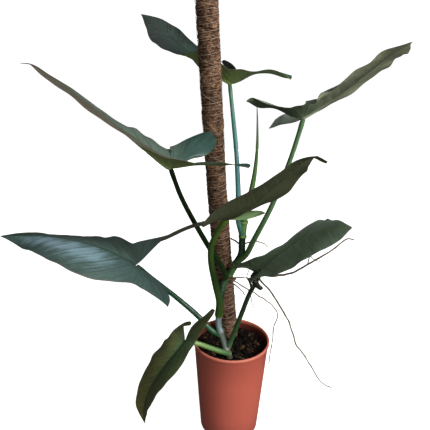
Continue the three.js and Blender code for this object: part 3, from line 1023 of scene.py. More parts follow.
@dataclass(frozen=True)
class BarkSoil:
    """The bark mix that fills the pot, with loose chips and crumbs on top and a stray root."""

    pot: NurseryPot = field(default_factory=NurseryPot)
    top: float = 184.0
    relief: float = 2.6
    gap: float = 0.35
    slack: float = 0.6
    rings: int = 46
    sides: int = 120
    tone: float = 0.25
    chips: int = 480
    chip_half: tuple[float, float] = (2.0, 8.5)
    chip_flat: float = 0.3
    crumbs: int = 2600
    crumb_half: tuple[float, float] = (0.5, 1.7)
    crumb_flat: float = 0.55
    pale_bits: float = 0.08
    sharp: float = 35.0
    seed: int = 4
    root_radius: float = 0.75
    root_path: Path = (
        (7, -37, 186), (13, -42, 189), (22, -47, 189), (34, -46, 188), (42, -40, 187),
    )

    def height_at(self, x: np.ndarray, y: np.ndarray) -> np.ndarray:
        """Finds the soil's height, which rolls in long and short swells.

        Args:
            x: The places' distance to the right.
            y: The places' distance to the back.

        Returns:
            The heights.
        """
        coarse = np.sin(0.13 * x + 0.9) * np.cos(0.11 * y - 0.4)
        fine = 0.6 * np.sin(0.31 * x - 0.23 * y) + 0.4 * np.cos(0.27 * x + 0.37 * y + 1.2)
        return self.top + self.relief * (coarse + fine) * 0.5

    def bed(self, rng: np.random.Generator) -> Skin:
        """Makes the soil itself.

        Args:
            rng: The seeded source of its roughness.

        Returns:
            Its closed body, rough on top.
        """
        pot = self.pot
        clearance = pot.wall + self.gap
        edge = pot.radius_at(self.top) - clearance - self.slack
        foot = pot.foot_radius - clearance
        wall = [
            (edge, self.top - 6), (pot.step_radius - clearance - self.slack, pot.foot_height + 4),
            (foot, pot.foot_height + 1), (foot - 1, pot.floor + self.gap),
        ]
        angles = once_round(self.sides)
        top_radii = edge * np.arange(1, self.rings + 1) / self.rings
        radii = np.concatenate([top_radii, [radius for radius, _ in wall]])
        levels = np.concatenate([np.zeros(self.rings), [level for _, level in wall]])
        x = radii[:, None] * np.cos(angles)
        y = radii[:, None] * np.sin(angles)
        z = np.broadcast_to(levels[:, None], x.shape).copy()
        rough = rough_grid(rng, self.rings, self.sides, 1) * 0.45
        rough = rough + rough_grid(rng, self.rings, self.sides, 5) * 0.5
        z[: self.rings] = self.height_at(x[: self.rings], y[: self.rings]) + rough
        centre = np.zeros(1)
        ends = [[0, 0, float(self.height_at(centre, centre)[0])], [0, 0, wall[-1][1]]]
        points = np.vstack([np.stack([x, y, z], axis=-1).reshape(-1, 3), ends])
        outward = [np.roll(group[:, ::-1], 1, axis=1) for group in ring_faces(len(radii), self.sides)]
        return Skin().add(points, outward, tone=self.tone)

    def scatter(
        self, rng: np.random.Generator, count: int, half_lengths: tuple[float, float], flat: float
    ) -> Skin:
        """Strews bits over the soil.

        Args:
            rng: The seeded source of their places and shapes.
            count: How many.
            half_lengths: Their shortest and longest half-length.
            flat: Their thickness as a share of their length.

        Returns:
            The bits as one mesh.
        """
        skin = Skin()
        edge = self.pot.radius_at(self.top) - self.pot.wall - 2.5
        for _ in range(count):
            away = edge * math.sqrt(rng.random())
            angle = rng.random() * 2 * math.pi
            x, y = away * math.cos(angle), away * math.sin(angle)
            half = blend(*half_lengths, rng.random() ** 2.2)
            half = min(half, max(edge + 1.5 - away, 0.7))
            points, faces = self.chip(rng, half, flat)
            z = float(self.height_at(np.array([x]), np.array([y]))[0]) + half * flat * 0.35
            tone = blend(0.05, 0.7, rng.random()) + (0.5 if rng.random() < self.pale_bits else 0.0)
            skin.add(points + np.array([x, y, z]), [faces], tone=tone)
        return skin

    @staticmethod
    def chip(rng: np.random.Generator, half: float, flat: float) -> tuple[np.ndarray, np.ndarray]:
        """Makes one rough bit, tilted at random round the origin.

        Args:
            rng: The seeded source of its shape.
            half: Its half-length.
            flat: Its thickness as a share of its length.

        Returns:
            Its points and its faces.
        """
        ring = once_round(6)
        around = np.stack([np.cos(ring), np.sin(ring) * 0.62, np.zeros(6)], axis=-1)
        upper = around * 0.72 + [0, 0, flat]
        lower = around * 0.8 - [0, 0, flat]
        points = np.vstack([around, upper, lower]) * rng.uniform(0.72, 1.25, (18, 3)) * half
        tilt = rng.normal(scale=0.34, size=2)
        turn = Matrix.Rotation(rng.random() * 2 * math.pi, 3, "Z")
        turn = turn @ Matrix.Rotation(tilt[0], 3, "X") @ Matrix.Rotation(tilt[1], 3, "Y")
        index = np.arange(6)
        after = (index + 1) % 6
        faces = np.vstack([
            np.stack([index, after, after + 6, index + 6], axis=-1),
            np.stack([after, index, index + 12, after + 12], axis=-1),
            [[6, 7, 8, 9], [6, 9, 10, 11], [15, 14, 13, 12], [17, 16, 15, 12]],
        ])
        return points @ np.array(turn).T, faces

    def build(self) -> None:
        """Builds the bed, the bits on it and the stray root."""
        rng = np.random.default_rng(self.seed)
        material = BarkMix().material()
        bed = self.bed(rng).build("soil_bed", "soil", [material], 180)
        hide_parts("soil")
        chips = self.scatter(rng, self.chips, self.chip_half, self.chip_flat)
        chips.build("bark_chips", "soil", [material], self.sharp)
        crumbs = self.scatter(rng, self.crumbs, self.crumb_half, self.crumb_flat)
        crumbs.build("bark_crumbs", "soil", [material], self.sharp)
        radii = np.full((36, 6), self.root_radius)
        path = smooth_path(self.root_path, len(radii))
        skin = Skin().add(*tube(path, radii), along=share_along(radii))
        tan = RootSkin("stray_root", linear(122, 104, 66), linear(96, 84, 56))
        skin.build("stray_root", "root", [tan.material()])


@dataclass(frozen=True)
class CoirPole:
    """The stake with its wrap of coir: the felt, the loose fibres on it and the twine round it."""

    line: PoleLine = field(default_factory=PoleLine)
    bottom: float = 160.0
    top: float = 791.0
    radius: float = 16.0
    rings: int = 420
    sides: int = 64
    line_samples: int = 400
    fibres: int = 4600
    fibre_steps: int = 5
    fibre_lengths: tuple[float, float] = (4.0, 17.0)
    fibre_radii: tuple[float, float] = (0.1, 0.2)
    fibre_stand_off: float = 3.4
    turn_pitch: float = 9.6
    twine_radius: float = 0.5
    pinch_width: float = 1.3
    pinch_depth: float = 0.75
    cross_pitch: float = 47.0
    cross_radius: float = 0.36
    seed: int = 11

    def twine_angle(self, z: np.ndarray) -> np.ndarray:
        """Returns the twine's angle round the pole at heights, with slightly uneven turns."""
        return 2 * np.pi * z / self.turn_pitch + 0.9 * np.sin(z / 31.0) + 0.5 * np.sin(z / 11.0)

    def felt_radius(self, rng: np.random.Generator) -> np.ndarray:
        """Finds the felt's radius, which is lumpy, matted and pinched by the twine.

        Args:
            rng: The seeded source of its roughness.

        Returns:
            The radius at each ring and side.
        """
        z = np.linspace(self.bottom, self.top, self.rings)[:, None]
        away = (once_round(self.sides)[None] - self.twine_angle(z) + np.pi) % (2 * np.pi) - np.pi
        pinch = bell(away * self.turn_pitch / (2 * np.pi), self.pinch_width)
        lumps = rough_grid(rng, self.rings, self.sides, 14) * 0.3
        matted = rough_grid(rng, self.rings, self.sides, 2) * 0.36
        return self.radius + lumps + matted - pinch * self.pinch_depth

    def on_pole(self, z: np.ndarray, angle: np.ndarray, radius: np.ndarray) -> np.ndarray:
        """Places points round the pole's middle line.

        Args:
            z: Their heights.
            angle: Their angles round the line.
            radius: Their distances from it.

        Returns:
            The points.
        """
        line = self.line.between(self.bottom, self.top, self.line_samples)
        centre, first, second = (
            np.stack([np.interp(z, line[:, 2], part[:, k]) for k in range(3)], axis=-1)
            for part in (line, *frames_along(line))
        )
        out = first * np.cos(angle)[..., None] + second * np.sin(angle)[..., None]
        return centre + radius[..., None] * out

    def build_felt(self, rng: np.random.Generator) -> None:
        """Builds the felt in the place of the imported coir.

        Args:
            rng: The seeded source of its roughness.
        """
        radii = self.felt_radius(rng)
        path = self.line.between(self.bottom, self.top, self.rings)
        # Painted shade: the felt is darker where it dips and where the twine pinches it.
        tone = np.concatenate([((radii - self.radius) * 0.4 + 0.5).ravel(), [0.4, 0.4]])
        skin = Skin().add(*tube(path, radii), tone=np.clip(tone, 0, 1))
        felt = skin.build("coir_felt", "coir", [CoirFelt().material()], 75)
        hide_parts("pole_coir")

    def build_fibres(self, rng: np.random.Generator) -> None:
        """Builds the loose fibres that lie on the felt or stand off it at one end.

        Args:
            rng: The seeded source of their places and curls.
        """
        skin = Skin()
        steps = self.fibre_steps
        share = np.linspace(0, 1, steps)
        for _ in range(self.fibres):
            length = rng.uniform(*self.fibre_lengths)
            lean = rng.normal(scale=0.55)
            start = rng.uniform(self.bottom + 6, self.top - 4)
            walk = np.cumsum(rng.normal(scale=0.24, size=steps)) + lean
            climb = np.cumsum(np.sin(walk)) * length / steps
            turn = np.cumsum(np.cos(walk)) * length / steps / self.radius
            z = np.clip(start + climb, self.bottom, self.top - 0.5)
            angle = rng.random() * 2 * np.pi + turn * rng.choice([-1, 1])
            loose = rng.random() ** 6 * self.fibre_stand_off
            weave = 0.4 * np.sin(share * np.pi * rng.uniform(1, 3))
            path = self.on_pole(z, angle, self.radius + 0.35 + weave + loose * share**3)
            width = rng.uniform(*self.fibre_radii)
            thin = np.repeat((width * (1 - 0.6 * share))[:, None], 3, axis=1)
            skin.add(*tube(path, thin), tone=rng.uniform(0.2, 1.25))
        fibre = CoirFelt("coir_fibre", linear(44, 29, 22), linear(97, 70, 54), linear(158, 126, 100))
        skin.build("coir_fibres", "coir", [fibre.material()], 180)

    def build_twine(self) -> None:
        """Builds the twine's close turns and the long ones that cross them."""
        skin = Skin()
        close = np.arange(self.bottom + 2, self.top - 3, self.turn_pitch / 22)
        long = np.arange(self.bottom + 8, self.top - 9, 1.6)
        long_angle = -2 * np.pi * long / self.cross_pitch + 0.6 * np.sin(long / 17)
        for z, angle, sink, thick in (
            (close, self.twine_angle(close), -0.25 + 0.22 * np.sin(close * 1.7), self.twine_radius),
            (long, long_angle, 0.2 + 0.2 * np.sin(long * 0.9), self.cross_radius),
        ):
            skin.add(*tube(self.on_pole(z, angle, self.radius + sink), np.full((len(z), 5), thick)))
        skin.build("coir_twine", "coir", [SpunThread().material()], 180)

    def build(self, frame: dict[str, dict[str, bpy.types.Object]]) -> None:
        """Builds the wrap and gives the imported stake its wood.

        Args:
            frame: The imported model.
        """
        rng = np.random.default_rng(self.seed)
        self.build_felt(rng)
        self.build_fibres(rng)
        self.build_twine()
        stake = frame["nodes"]["pole_stake"]
        stake.data.materials.clear()
        stake.data.materials.append(Softwood().material())
        LOG.info("pole_stake: wood on the packed solid")


@dataclass(frozen=True)
class MainStem:
    """The knuckled stem: silvery and woody at its foot, dark green above, bright in its newest part."""

    path: Path = (
        (0, -40, 160), (-4, -37, 184), (-10, -34, 201), (-18, -30, 226), (-24, -26, 243), (-24, -21, 262),
        (-22, -15, 282), (-17, -8, 313), (-9, -6, 326), (3, -4, 351), (12, -3, 370), (13, -2, 396),
        (15, -3, 430),
    )
    radius: float = 5.9
    swell: float = 1.3
    ridge: float = 0.3
    waist: float = 0.14
    knuckles: tuple[float, ...] = (201, 232, 262, 326, 351, 402, 428)
    knuckle_width: float = 3.5
    ring_width: float = 0.7
    rings: int = 300
    sides: int = 32
    seed: int = 7
    knobs: tuple[tuple[Point, Point, float], ...] = (
        ((-9, -9, 326), (1, -14, 324), 3.4),
        ((-3, -12, 325), (4, -15, 328), 2.2),
        ((2, -6, 351), (9, -8, 351), 3.0),
    )
    knob_rings: int = 12
    knob_sides: int = 16
    knob_seed: int = 3

    @staticmethod
    def finish() -> StalkSkin:
        """Chooses the stem's colours, from its foot to its top.

        Returns:
            The stem's skin.
        """
        silver, dark = linear(116, 126, 122), linear(38, 62, 44)
        green, bright = linear(68, 106, 66), linear(94, 160, 50)
        stops = (
            (0.0, linear(89, 78, 62)), (0.1, linear(90, 84, 72)), (0.15, silver),
            (0.25, linear(104, 118, 104)), (0.28, linear(142, 162, 164)), (0.365, linear(120, 142, 144)),
            (0.39, green), (0.5, dark), (0.6, green), (0.68, linear(72, 106, 53)), (0.75, dark),
            (0.895, dark), (0.9, bright), (0.96, linear(106, 140, 72)), (1.0, linear(114, 145, 78)),
        )
        return StalkSkin("stem_skin", stops, specks=0.15, roughness=0.17)

    def build(self) -> None:
        """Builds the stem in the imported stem's place, and the knobs on it."""
        path = smooth_path(self.path, self.rings)
        z = path[:, 2]
        off = np.stack([z - knuckle for knuckle in self.knuckles])
        swell = bell(off, self.knuckle_width).max(axis=0)
        ridge = bell(off, self.ring_width).max(axis=0)
        waist = np.cos(np.linspace(0, 9, self.rings)) * self.waist
        rough = rough_grid(np.random.default_rng(self.seed), self.rings, self.sides, 8) * 0.1
        radii = (self.radius + self.swell * swell + self.ridge * ridge + waist)[:, None]
        radii = radii * (1 + 0.03 * np.cos(2 * once_round(self.sides)))[None] + rough
        height = on_rings((z - z[0]) / (z[-1] - z[0]), self.sides, (0, 1))
        scar = on_rings(ridge * 0.7, self.sides, (0, 0))
        skin = Skin().add(*tube(path, radii), along=height, ring=scar)
        stem = skin.build("stem", "stem", [self.finish().material()])
        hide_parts("main_stem")
        self.build_knobs()

    def build_knobs(self) -> None:
        """Builds the corky knobs at the forks, from which the short roots come."""
        skin = Skin()
        rng = np.random.default_rng(self.knob_seed)
        rings, sides = self.knob_rings, self.knob_sides
        share = np.linspace(0, 1, rings)
        for start, end, radius in self.knobs:
            path = smooth_path([start, tuple(np.add(start, end) / 2), end], rings)
            shape = radius * np.sqrt(np.clip(1 - (share * 1.02 - 0.1) ** 4, 0.02, 1))
            radii = shape[:, None] * (1 + 0.13 * rough_grid(rng, rings, sides, 1))
            skin.add(*tube(path, radii), along=share_along(radii))
        cork = RootSkin("root_knob", linear(74, 56, 42), linear(128, 96, 72))
        skin.build("root_knob", "root", [cork.material()])


@dataclass(frozen=True)
class LeafStalk:
    """One leaf stalk, with a sheath that clasps the stem and a joint under the blade."""

    name: str
    path: Path
    radii: tuple[float, float]
    stops: Stops
    specks: float = 0.18
    sheath: float = 0.22
    sheath_fall: float = 9.0
    joint: float = 0.13
    joint_place: float = 9.0
    joint_width: float = 7.0
    scar_width: float = 1.3
    rings: int = 120
    sides: int = 24

    def build(self) -> None:
        """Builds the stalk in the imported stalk's place."""
        path = smooth_path(self.path, self.rings)
        share = np.linspace(0, 1, self.rings)
        gone = share * np.linalg.norm(np.diff(path, axis=0), axis=1).sum()
        clasp = 1 + self.sheath * np.exp(-gone / self.sheath_fall)
        joint = 1 + self.joint * bell(gone[-1] - gone - self.joint_place, self.joint_width)
        angles = once_round(self.sides)
        section = 1 + 0.045 * np.cos(2 * angles) + 0.02 * np.cos(5 * angles)
        radii = (blend(*self.radii, share) * clasp * joint)[:, None] * section[None]
        scar = on_rings(bell(gone, self.scar_width) * 0.6, self.sides, (0, 0))
        skin = Skin().add(*tube(path, radii), along=share_along(radii), ring=scar)
        finish = StalkSkin(f"stalk_skin_{self.name}", self.stops, specks=self.specks)
        stalk = skin.build(f"stalk_{self.name}", "petiole", [finish.material()])
        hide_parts(f"petiole_{self.name}")


@dataclass(frozen=True)
class RolledLeaf:
    """The new leaf, still rolled into a spike with its free edge winding up it."""

    path: Path = (
        (15, -3, 431), (21, -6, 462), (28, -11, 510), (30, -17, 555), (28, -25, 595), (25, -32, 630),
    )
    radii: tuple[float, float] = (5.2, 0.5)
    belly: float = 0.12
    overlap: float = 0.13
    edge_start: float = 0.35
    edge_turns: float = 0.4
    rings: int = 150
    sides: int = 28

    def build(self) -> None:
        """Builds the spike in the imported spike's place."""
        path = smooth_path(self.path, self.rings)
        share = np.linspace(0, 1, self.rings)[:, None]
        radius = blend(*self.radii, share) * (1 + self.belly * np.sin(np.pi * share**0.7))
        turn = (np.arange(self.sides) / self.sides)[None]
        wound = (turn - self.edge_start - self.edge_turns * share) % 1.0
        radii = radius * (1 - self.overlap / 2 + self.overlap * wound)
        skin = Skin().add(*tube(path, radii), along=share_along(radii), ring=0.0)
        stops = (
            (0.0, linear(118, 158, 86)), (0.25, linear(104, 144, 80)), (0.6, linear(112, 150, 90)),
            (0.9, linear(124, 158, 104)), (1.0, linear(150, 158, 110)),
        )
        finish = StalkSkin("spike_skin", stops, specks=0.15)
        spike = skin.build("rolled_leaf", "spike", [finish.material()])
        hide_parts("new_leaf_spike")


@dataclass(frozen=True)
class ShrivelledLobe:
    """The shrivelled end of blade E's near lobe, curled round the stalk, with a dry thread by it."""

    curls: tuple[Path, ...] = (
        ((31, -81, 374), (29, -82, 367), (30, -82, 359), (34, -82, 352), (39, -81, 347), (44, -80, 345)),
        ((33, -79, 374), (30, -79, 367), (28, -78, 361), (27, -77, 353)),
    )
    thread: Path = (
        (24, -70, 384), (23, -70, 377), (21, -70, 370), (19, -70, 363), (19, -70, 356), (22, -71, 354),
        (28, -74, 354),
    )
    radius: float = 4.6
    thread_radius: float = 0.55
    rings: int = 60
    sides: int = 24
    seed: int = 17

    def build(self) -> None:
        """Builds the curls and the thread."""
        rng = np.random.default_rng(self.seed)
        skin = Skin()
        share = np.linspace(0, 1, self.rings)
        angles = once_round(self.sides)[None]
        shape = self.radius * (0.55 + 0.45 * np.sin(np.pi * share**0.8))
        shape = (shape * np.clip((1 - share) * 9, 0.1, 1) ** 0.5)[:, None]
        creases = 1 + 0.2 * np.sin(3 * angles + 5 * share[:, None]) + 0.08 * np.sin(9 * angles)
        for curl in self.curls:
            radii = shape * creases + 0.25 * rough_grid(rng, self.rings, self.sides, 3)
            curled = tube(smooth_path(curl, self.rings), np.maximum(radii, 0.3))
            skin.add(*curled, along=share_along(radii), ring=0.0)
        stops = (
            (0.0, linear(52, 62, 42)), (0.4, linear(24, 30, 22)), (0.75, linear(44, 52, 34)),
            (1.0, linear(20, 22, 16)),
        )
        leathery = StalkSkin("shrivelled_leaf", stops, specks=0.05, roughness=0.4)
        skin.build("shrivelled_lobe", "leaf", [leathery.material()])
        radii = np.full((self.rings, 8), self.thread_radius)
        strand = Skin().add(*tube(smooth_path(self.thread, self.rings), radii), along=share_along(radii))
        dry = RootSkin("dry_thread", linear(74, 64, 52), linear(96, 84, 72))
        strand.build("dry_thread", "root", [dry.material()])


@dataclass(frozen=True)
class AerialRoot:
    """One aerial root with its branches."""

    name: str
    path: Path
    radii: tuple[float, float]
    near: Colour
    far: Colour
    branches: tuple[Path, ...] = ()
    kink: float = 0.35
    rings: int = 110
    branch_rings: int = 36
    sides: int = 8

    def build(self) -> None:
        """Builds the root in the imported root's place."""
        skin = Skin()
        rng = np.random.default_rng(len(self.name) * 7 + len(self.path))
        self.add_strand(skin, rng, self.path, self.radii, self.rings)
        ends = (self.radii[1] * 0.95, self.radii[1] * 0.55)
        for branch in self.branches:
            self.add_strand(skin, rng, branch, ends, self.branch_rings)
        finish = RootSkin(f"skin_{self.name}", self.near, self.far)
        root = skin.build(self.name.replace("aerial_", ""), "root", [finish.material()])
        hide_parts(self.name)

    def add_strand(
        self,
        skin: Skin,
        rng: np.random.Generator,
        points: Sequence[Point],
        ends: tuple[float, float],
        rings: int,
    ) -> None:
        """Adds one strand, slightly kinked and knotty.

        Args:
            skin: The mesh that it is added to.
            rng: The seeded source of its kinks.
            points: The points that it passes.
            ends: Its radius at the start and at the end.
            rings: How many rings it has.
        """
        path = smooth_path(points, rings)
        wander = rough_grid(rng, rings, 3, 5) * self.kink
        path = path + wander * np.sin(np.linspace(0, np.pi, rings))[:, None]
        radius = blend(*ends, np.linspace(0, 1, rings))[:, None]
        radii = radius * (1 + 0.09 * rough_grid(rng, rings, self.sides, 2))
        radii[-1] *= 0.4
        skin.add(*tube(path, radii), along=share_along(radii))


@dataclass(frozen=True)
class HalfShape:
    """How one half of a blade stands.

    In degrees: "fold" is its rise from the midrib at the stalk and at the tip, "arch" how far it curls
    down toward the margin, "bend" how far its lobe curls up behind the stalk, and "lift" what the lobe
    adds to the fold. "spread" moves the lobe outward, as a share of the way back.
    """

    fold: tuple[float, float]
    arch: float
    bend: float
    lift: float
    spread: float


@dataclass(frozen=True)
class Swell:
    """A push on a blade round one place along it, by one amount at its margin and one at its inner edge.

    The place and its spread are in blade lengths, negative in the lobes.
    """

    place: float
    spread: float
    outer: Point
    inner: Point = (0, 0, 0)


Colours = tuple[Colour, Colour, Colour, Colour, Colour]


@dataclass(frozen=True)
class LeafBlade:
    """One arrow-shaped blade, with its midrib, pleats between the side veins and a waved margin.

    The outline's points, "notch" and "margin", and every place along a blade are in blade lengths from
    the stalk, negative in the lobes. "upper" and "under" are each side's own colour, its dusk colour and
    the colours of its lobes, rib and veins; the dusk colour paints light and shade, and D's under lobes
    are painted lighter, as if lit through. "dusk" is the share of that painted light and shade on the
    right half, on the left one and at the tip, and "gleam" the share of silver on each half, partly the
    leaf's own and partly a painted highlight.
    """

    name: str
    midrib: tuple[Point, Point, Point, Point]
    face: Point
    twist: float
    width: float
    wave: float
    waves: float
    right: HalfShape
    left: HalfShape
    upper: Colours
    under: Colours
    dusk: tuple[float, float, float] = (0.3, 0.3, 0.2)
    gleam: tuple[float, float] = (0.12, 0.12)
    silver_and_highlight_span: tuple[float, float] = (0.12, 0.94)
    shine: tuple[float, float] = (0.4, 0.25)
    side_vein: Colour = RIB_GREEN
    swells: tuple[Swell, ...] = ()
    right_swells: tuple[Swell, ...] = ()
    left_swells: tuple[Swell, ...] = ()
    ripple: float = 0.7
    pleat: float = 0.5
    thickness: float = 0.8
    groove_depth: float = 0.45
    groove_half: float = 1.1
    rib_depth: float = 2.3
    rib_half: tuple[float, float] = (2.4, 0.7)
    rib_flank: float = 0.5
    vein_count: float = 9.0
    vein_slope: float = 1.1
    vein_sweep: float = 1.6
    lobe_veins: float = 2.6
    lobe_start: float = 0.03
    lobe_fade: float = 0.13
    lobe_reach: float = 0.262
    lobe_tip: float = 0.315
    lobe_tip_ease: float = 0.045
    side_ease: float = 0.04
    arch_reach: float = 0.25
    frame_span: float = 0.15
    lobe_rows: int = 30
    blade_rows: int = 88
    notch: tuple[tuple[float, float], ...] = (
        (-0.235, 0.315), (-0.262, 0.27), (-0.262, 0.21), (-0.225, 0.14), (-0.15, 0.07), (-0.06, 0.018),
        (0, 0),
    )
    margin: tuple[tuple[float, float], ...] = (
        (-0.235, 0.315), (-0.18, 0.3), (-0.1, 0.245), (-0.02, 0.2), (0.06, 0.2), (0.16, 0.225),
        (0.28, 0.25), (0.4, 0.243), (0.52, 0.213), (0.64, 0.17), (0.76, 0.115), (0.87, 0.062),
        (0.95, 0.022), (1, 0),
    )
    margin_at_stalk: float = 4 / 13

    def columns(self) -> np.ndarray:
        """Returns the shares of the way from the midrib to the margin, close together at both."""
        inner = (0, 0.008, 0.018, 0.03, 0.045, 0.065, 0.09)
        return np.concatenate([inner, np.linspace(0.125, 0.95, 18), (0.975, 0.99, 1.0)])

    def length(self) -> float:
        """Returns the midrib's length."""
        line = bezier(np.array(self.midrib, float), np.linspace(0, 1, 200))
        return float(np.linalg.norm(np.diff(line, axis=0), axis=1).sum())

    def middle(self, x: np.ndarray, v: np.ndarray, share: np.ndarray, side: int) -> np.ndarray:
        """Finds points of the blade's middle surface.

        Args:
            x: How far along the midrib they are.
            v: How far out they are, in blade lengths.
            share: The share of the way out to the margin.
            side: 1 for the right half and -1 for the left one.

        Returns:
            The points.
        """
        controls = np.array(self.midrib, float)
        length = self.length()
        half = self.right if side > 0 else self.left
        along = np.maximum(x, 0)
        back_share = np.clip(-x / self.lobe_reach, 0, 1.2)
        ahead = bezier(controls, np.minimum(along + self.frame_span, 1))
        tangent = unit(ahead - bezier(controls, np.maximum(along - self.frame_span, 0)))
        face = unit(np.array(self.face, float))
        normal = unit(face - tangent * (tangent @ face)[..., None])
        angle = np.radians(self.twist) * (along - 0.5)[..., None]
        normal = normal * np.cos(angle) + np.cross(tangent, normal) * np.sin(angle)
        across = np.cross(tangent, normal) * side
        bend = math.radians(half.bend)
        curl = bend / (self.lobe_reach * length)
        back = np.maximum(-x, 0) * length
        backward = (np.sin(curl * back) / curl)[..., None]
        upward = ((1 - np.cos(curl * back)) / curl)[..., None]
        fold = np.radians(blend(*half.fold, along) + half.lift * back_share)
        turn = -math.radians(half.arch) / (self.arch_reach * length)
        reach = (v + half.spread * np.maximum(-x, 0)) * self.width * length
        outward = ((np.sin(fold + turn * reach) - np.sin(fold)) / turn)[..., None]
        rise = (np.cos(fold) - np.cos(fold + turn * reach)) / turn + self.waved(x, share, side)
        tilt = (bend * back_share)[..., None]
        tilted = normal * np.cos(tilt) + tangent * np.sin(tilt)
        surface = bezier(controls, along) - tangent * backward + normal * upward + across * outward
        return surface + tilted * rise[..., None] + self.pushed(x, v, share, side)

    def waved(self, x: np.ndarray, share: np.ndarray, side: int) -> np.ndarray:
        """Finds how far the margin's long waves and its ripple lift the blade.

        Args:
            x: How far along the midrib the places are.
            share: The share of the way out to the margin.
            side: 1 for the right half and -1 for the left one.

        Returns:
            The lift at each place.
        """
        along = np.maximum(x, 0)
        wave = self.wave * np.sin(2 * np.pi * self.waves * x + side) * share**2 * (1 - along)
        wobble = np.sin(29 * x + 2 * side + self.twist) + 0.6 * np.sin(47 * x - side + self.width * 50)
        return wave + self.ripple * wobble * share**4 * np.clip((1 - along) * 4, 0, 1)

    def pushed(self, x: np.ndarray, v: np.ndarray, share: np.ndarray, side: int) -> np.ndarray:
        """Adds up the pushes of the swells.

        A push goes from its inner amount to its outer one on the way out, and is the outer one alone at
        a lobe's tip. The inner amount of one half's own swell starts behind the stalk.

        Args:
            x: How far along the midrib the places are.
            v: How far out they are, in blade lengths.
            share: The share of the way out to the margin.
            side: 1 for the right half and -1 for the left one.

        Returns:
            The push at each place.
        """
        push = np.zeros((*x.shape, 3))
        inward = (1 - share) * np.clip((self.lobe_tip - v) / self.lobe_tip_ease, 0, 1)
        outward = np.where(x < 0, 1 - inward, share)
        own = self.right_swells if side > 0 else self.left_swells
        behind = np.clip(-x / self.side_ease, 0, 1)
        for swells, free in ((self.swells, 1.0), (own, behind)):
            for swell in swells:
                near = bell(x - swell.place, swell.spread)
                push += (near * free * inward)[..., None] * np.array(swell.inner, float)
                push += (near * outward)[..., None] * np.array(swell.outer, float)
        return push

    def vein_phase(self, x: np.ndarray, v: np.ndarray) -> np.ndarray:
        """Numbers places so that each side vein lies at a whole number.

        Ahead of the stalk the veins leave the midrib at even steps and sweep forward, and behind it they
        fan out from the stalk into the lobe.

        Args:
            x: How far along the midrib the places are.
            v: How far out they are, in blade lengths.

        Returns:
            The number at each place.
        """
        straight = x - self.vein_sweep * v * v
        leave = straight - self.vein_slope * v
        fan = np.arctan2(v, straight) - math.atan2(1.0, self.vein_slope)
        return np.where(leave > 0, leave * self.vein_count, -np.maximum(fan, 0) * self.lobe_veins)

    def grid(self) -> tuple[np.ndarray, np.ndarray, np.ndarray]:
        """Lays a grid over one half of the outline, from the lobe's tip to the blade's.

        Returns:
            How far along and how far out its places are, and the share of the way out to the margin.
        """
        lobe = np.arange(self.lobe_rows + 1) / self.lobe_rows
        ahead = np.arange(1, self.blade_rows + 1) / self.blade_rows
        rib = np.stack([ahead, np.zeros_like(ahead)], axis=-1)
        inner = np.vstack([outline(self.notch, lobe), rib])
        margin = blend(self.margin_at_stalk, 1.0, ahead)
        outer = np.vstack([outline(self.margin, lobe * self.margin_at_stalk), outline(self.margin, margin)])
        columns = self.columns()
        places = inner[:, None] + (outer - inner)[:, None] * columns[None, :, None]
        return places[..., 0], places[..., 1], np.broadcast_to(columns, places.shape[:2])

    def sheet(self) -> tuple[np.ndarray, list[list[int]], dict[str, np.ndarray]]:
        """Makes the blade's middle surface, both halves joined along the midrib.

        Returns:
            Its points, its faces, and what its points carry.
        """
        x, v, share = self.grid()
        rows, count = x.shape
        last = rows - 1
        points, faces, places = [], [], []
        for side in (1, -1):
            points.append(self.middle(x, v, share, side).reshape(-1, 3))
            places.append(np.stack([x, v, share, np.full_like(x, side)], axis=-1).reshape(-1, 4))
            number = np.arange(rows * count).reshape(rows, count) + (0 if side > 0 else rows * count)
            number[0, :] = number[0, -1]
            number[last, :] = last * count
            if side < 0:
                number[self.lobe_rows :, 0] -= rows * count
            for k in range(last):
                for c in range(count - 1):
                    around = (number[k, c], number[k, c + 1], number[k + 1, c + 1], number[k + 1, c])
                    face = list(dict.fromkeys(int(corner) for corner in around))
                    faces.append(face if side > 0 else face[::-1])
        x, v, share, half = np.vstack(places).T
        off = (v + np.maximum(-x, 0)) * self.width * self.length()
        carried = {"vein": self.vein_phase(x, v), "edge": share, "off": off, "x": x}
        carried["rib"] = off / (blend(*self.rib_half, np.maximum(x, 0)) + self.rib_flank)
        return np.vstack(points), faces, carried | self.tints(x, share, half)

    def tints(self, x: np.ndarray, share: np.ndarray, half: np.ndarray) -> dict[str, np.ndarray]:
        """Finds the blade's painted light and shade, its lobes and its silver with its painted highlight.

        Args:
            x: How far along the midrib the points are.
            share: The share of the way out to the margin.
            half: 1 on the right half and -1 on the left one.

        Returns:
            The values that the points carry, by name.
        """
        # Painted light and shade, by half, growing toward the tip and the margin.
        right, left, tip = self.dusk
        dusk = np.where(half > 0, right, left) * np.clip(share * 3, 0, 1)
        dusk = dusk + tip * np.clip(x, 0, 1) ** 1.5 + 0.3 * share**3
        # Where the silver and its painted highlight lie along the blade.
        start, end = self.silver_and_highlight_span
        ends = np.clip((x - start) * 6, 0, 1) * np.clip((end - x) * 5, 0, 1)
        return {
            "dusk": dusk,
            "lobe": np.clip((self.lobe_start - x) / self.lobe_fade, 0, 1),
            "gleam": np.where(half > 0, *self.gleam) * bell(share - 0.35, 0.38) * ends,
        }

    @staticmethod
    def normals(points: np.ndarray, faces: Sequence[np.ndarray]) -> np.ndarray:
        """Finds the area-weighted normals of a sheet.

        Args:
            points: Its points, one row each.
            faces: Its triangles and its quads.

        Returns:
            The normal at each point.
        """
        total = np.zeros_like(points)
        for group in faces:
            sides = group.shape[1]
            corners = points[group]
            if sides == 4:
                flat = np.cross(corners[:, 2] - corners[:, 0], corners[:, 3] - corners[:, 1])
            else:
                flat = np.cross(corners[:, 1] - corners[:, 0], corners[:, 2] - corners[:, 0])
            for k in range(sides):
                np.add.at(total, group[:, k], flat)
        return unit(total)

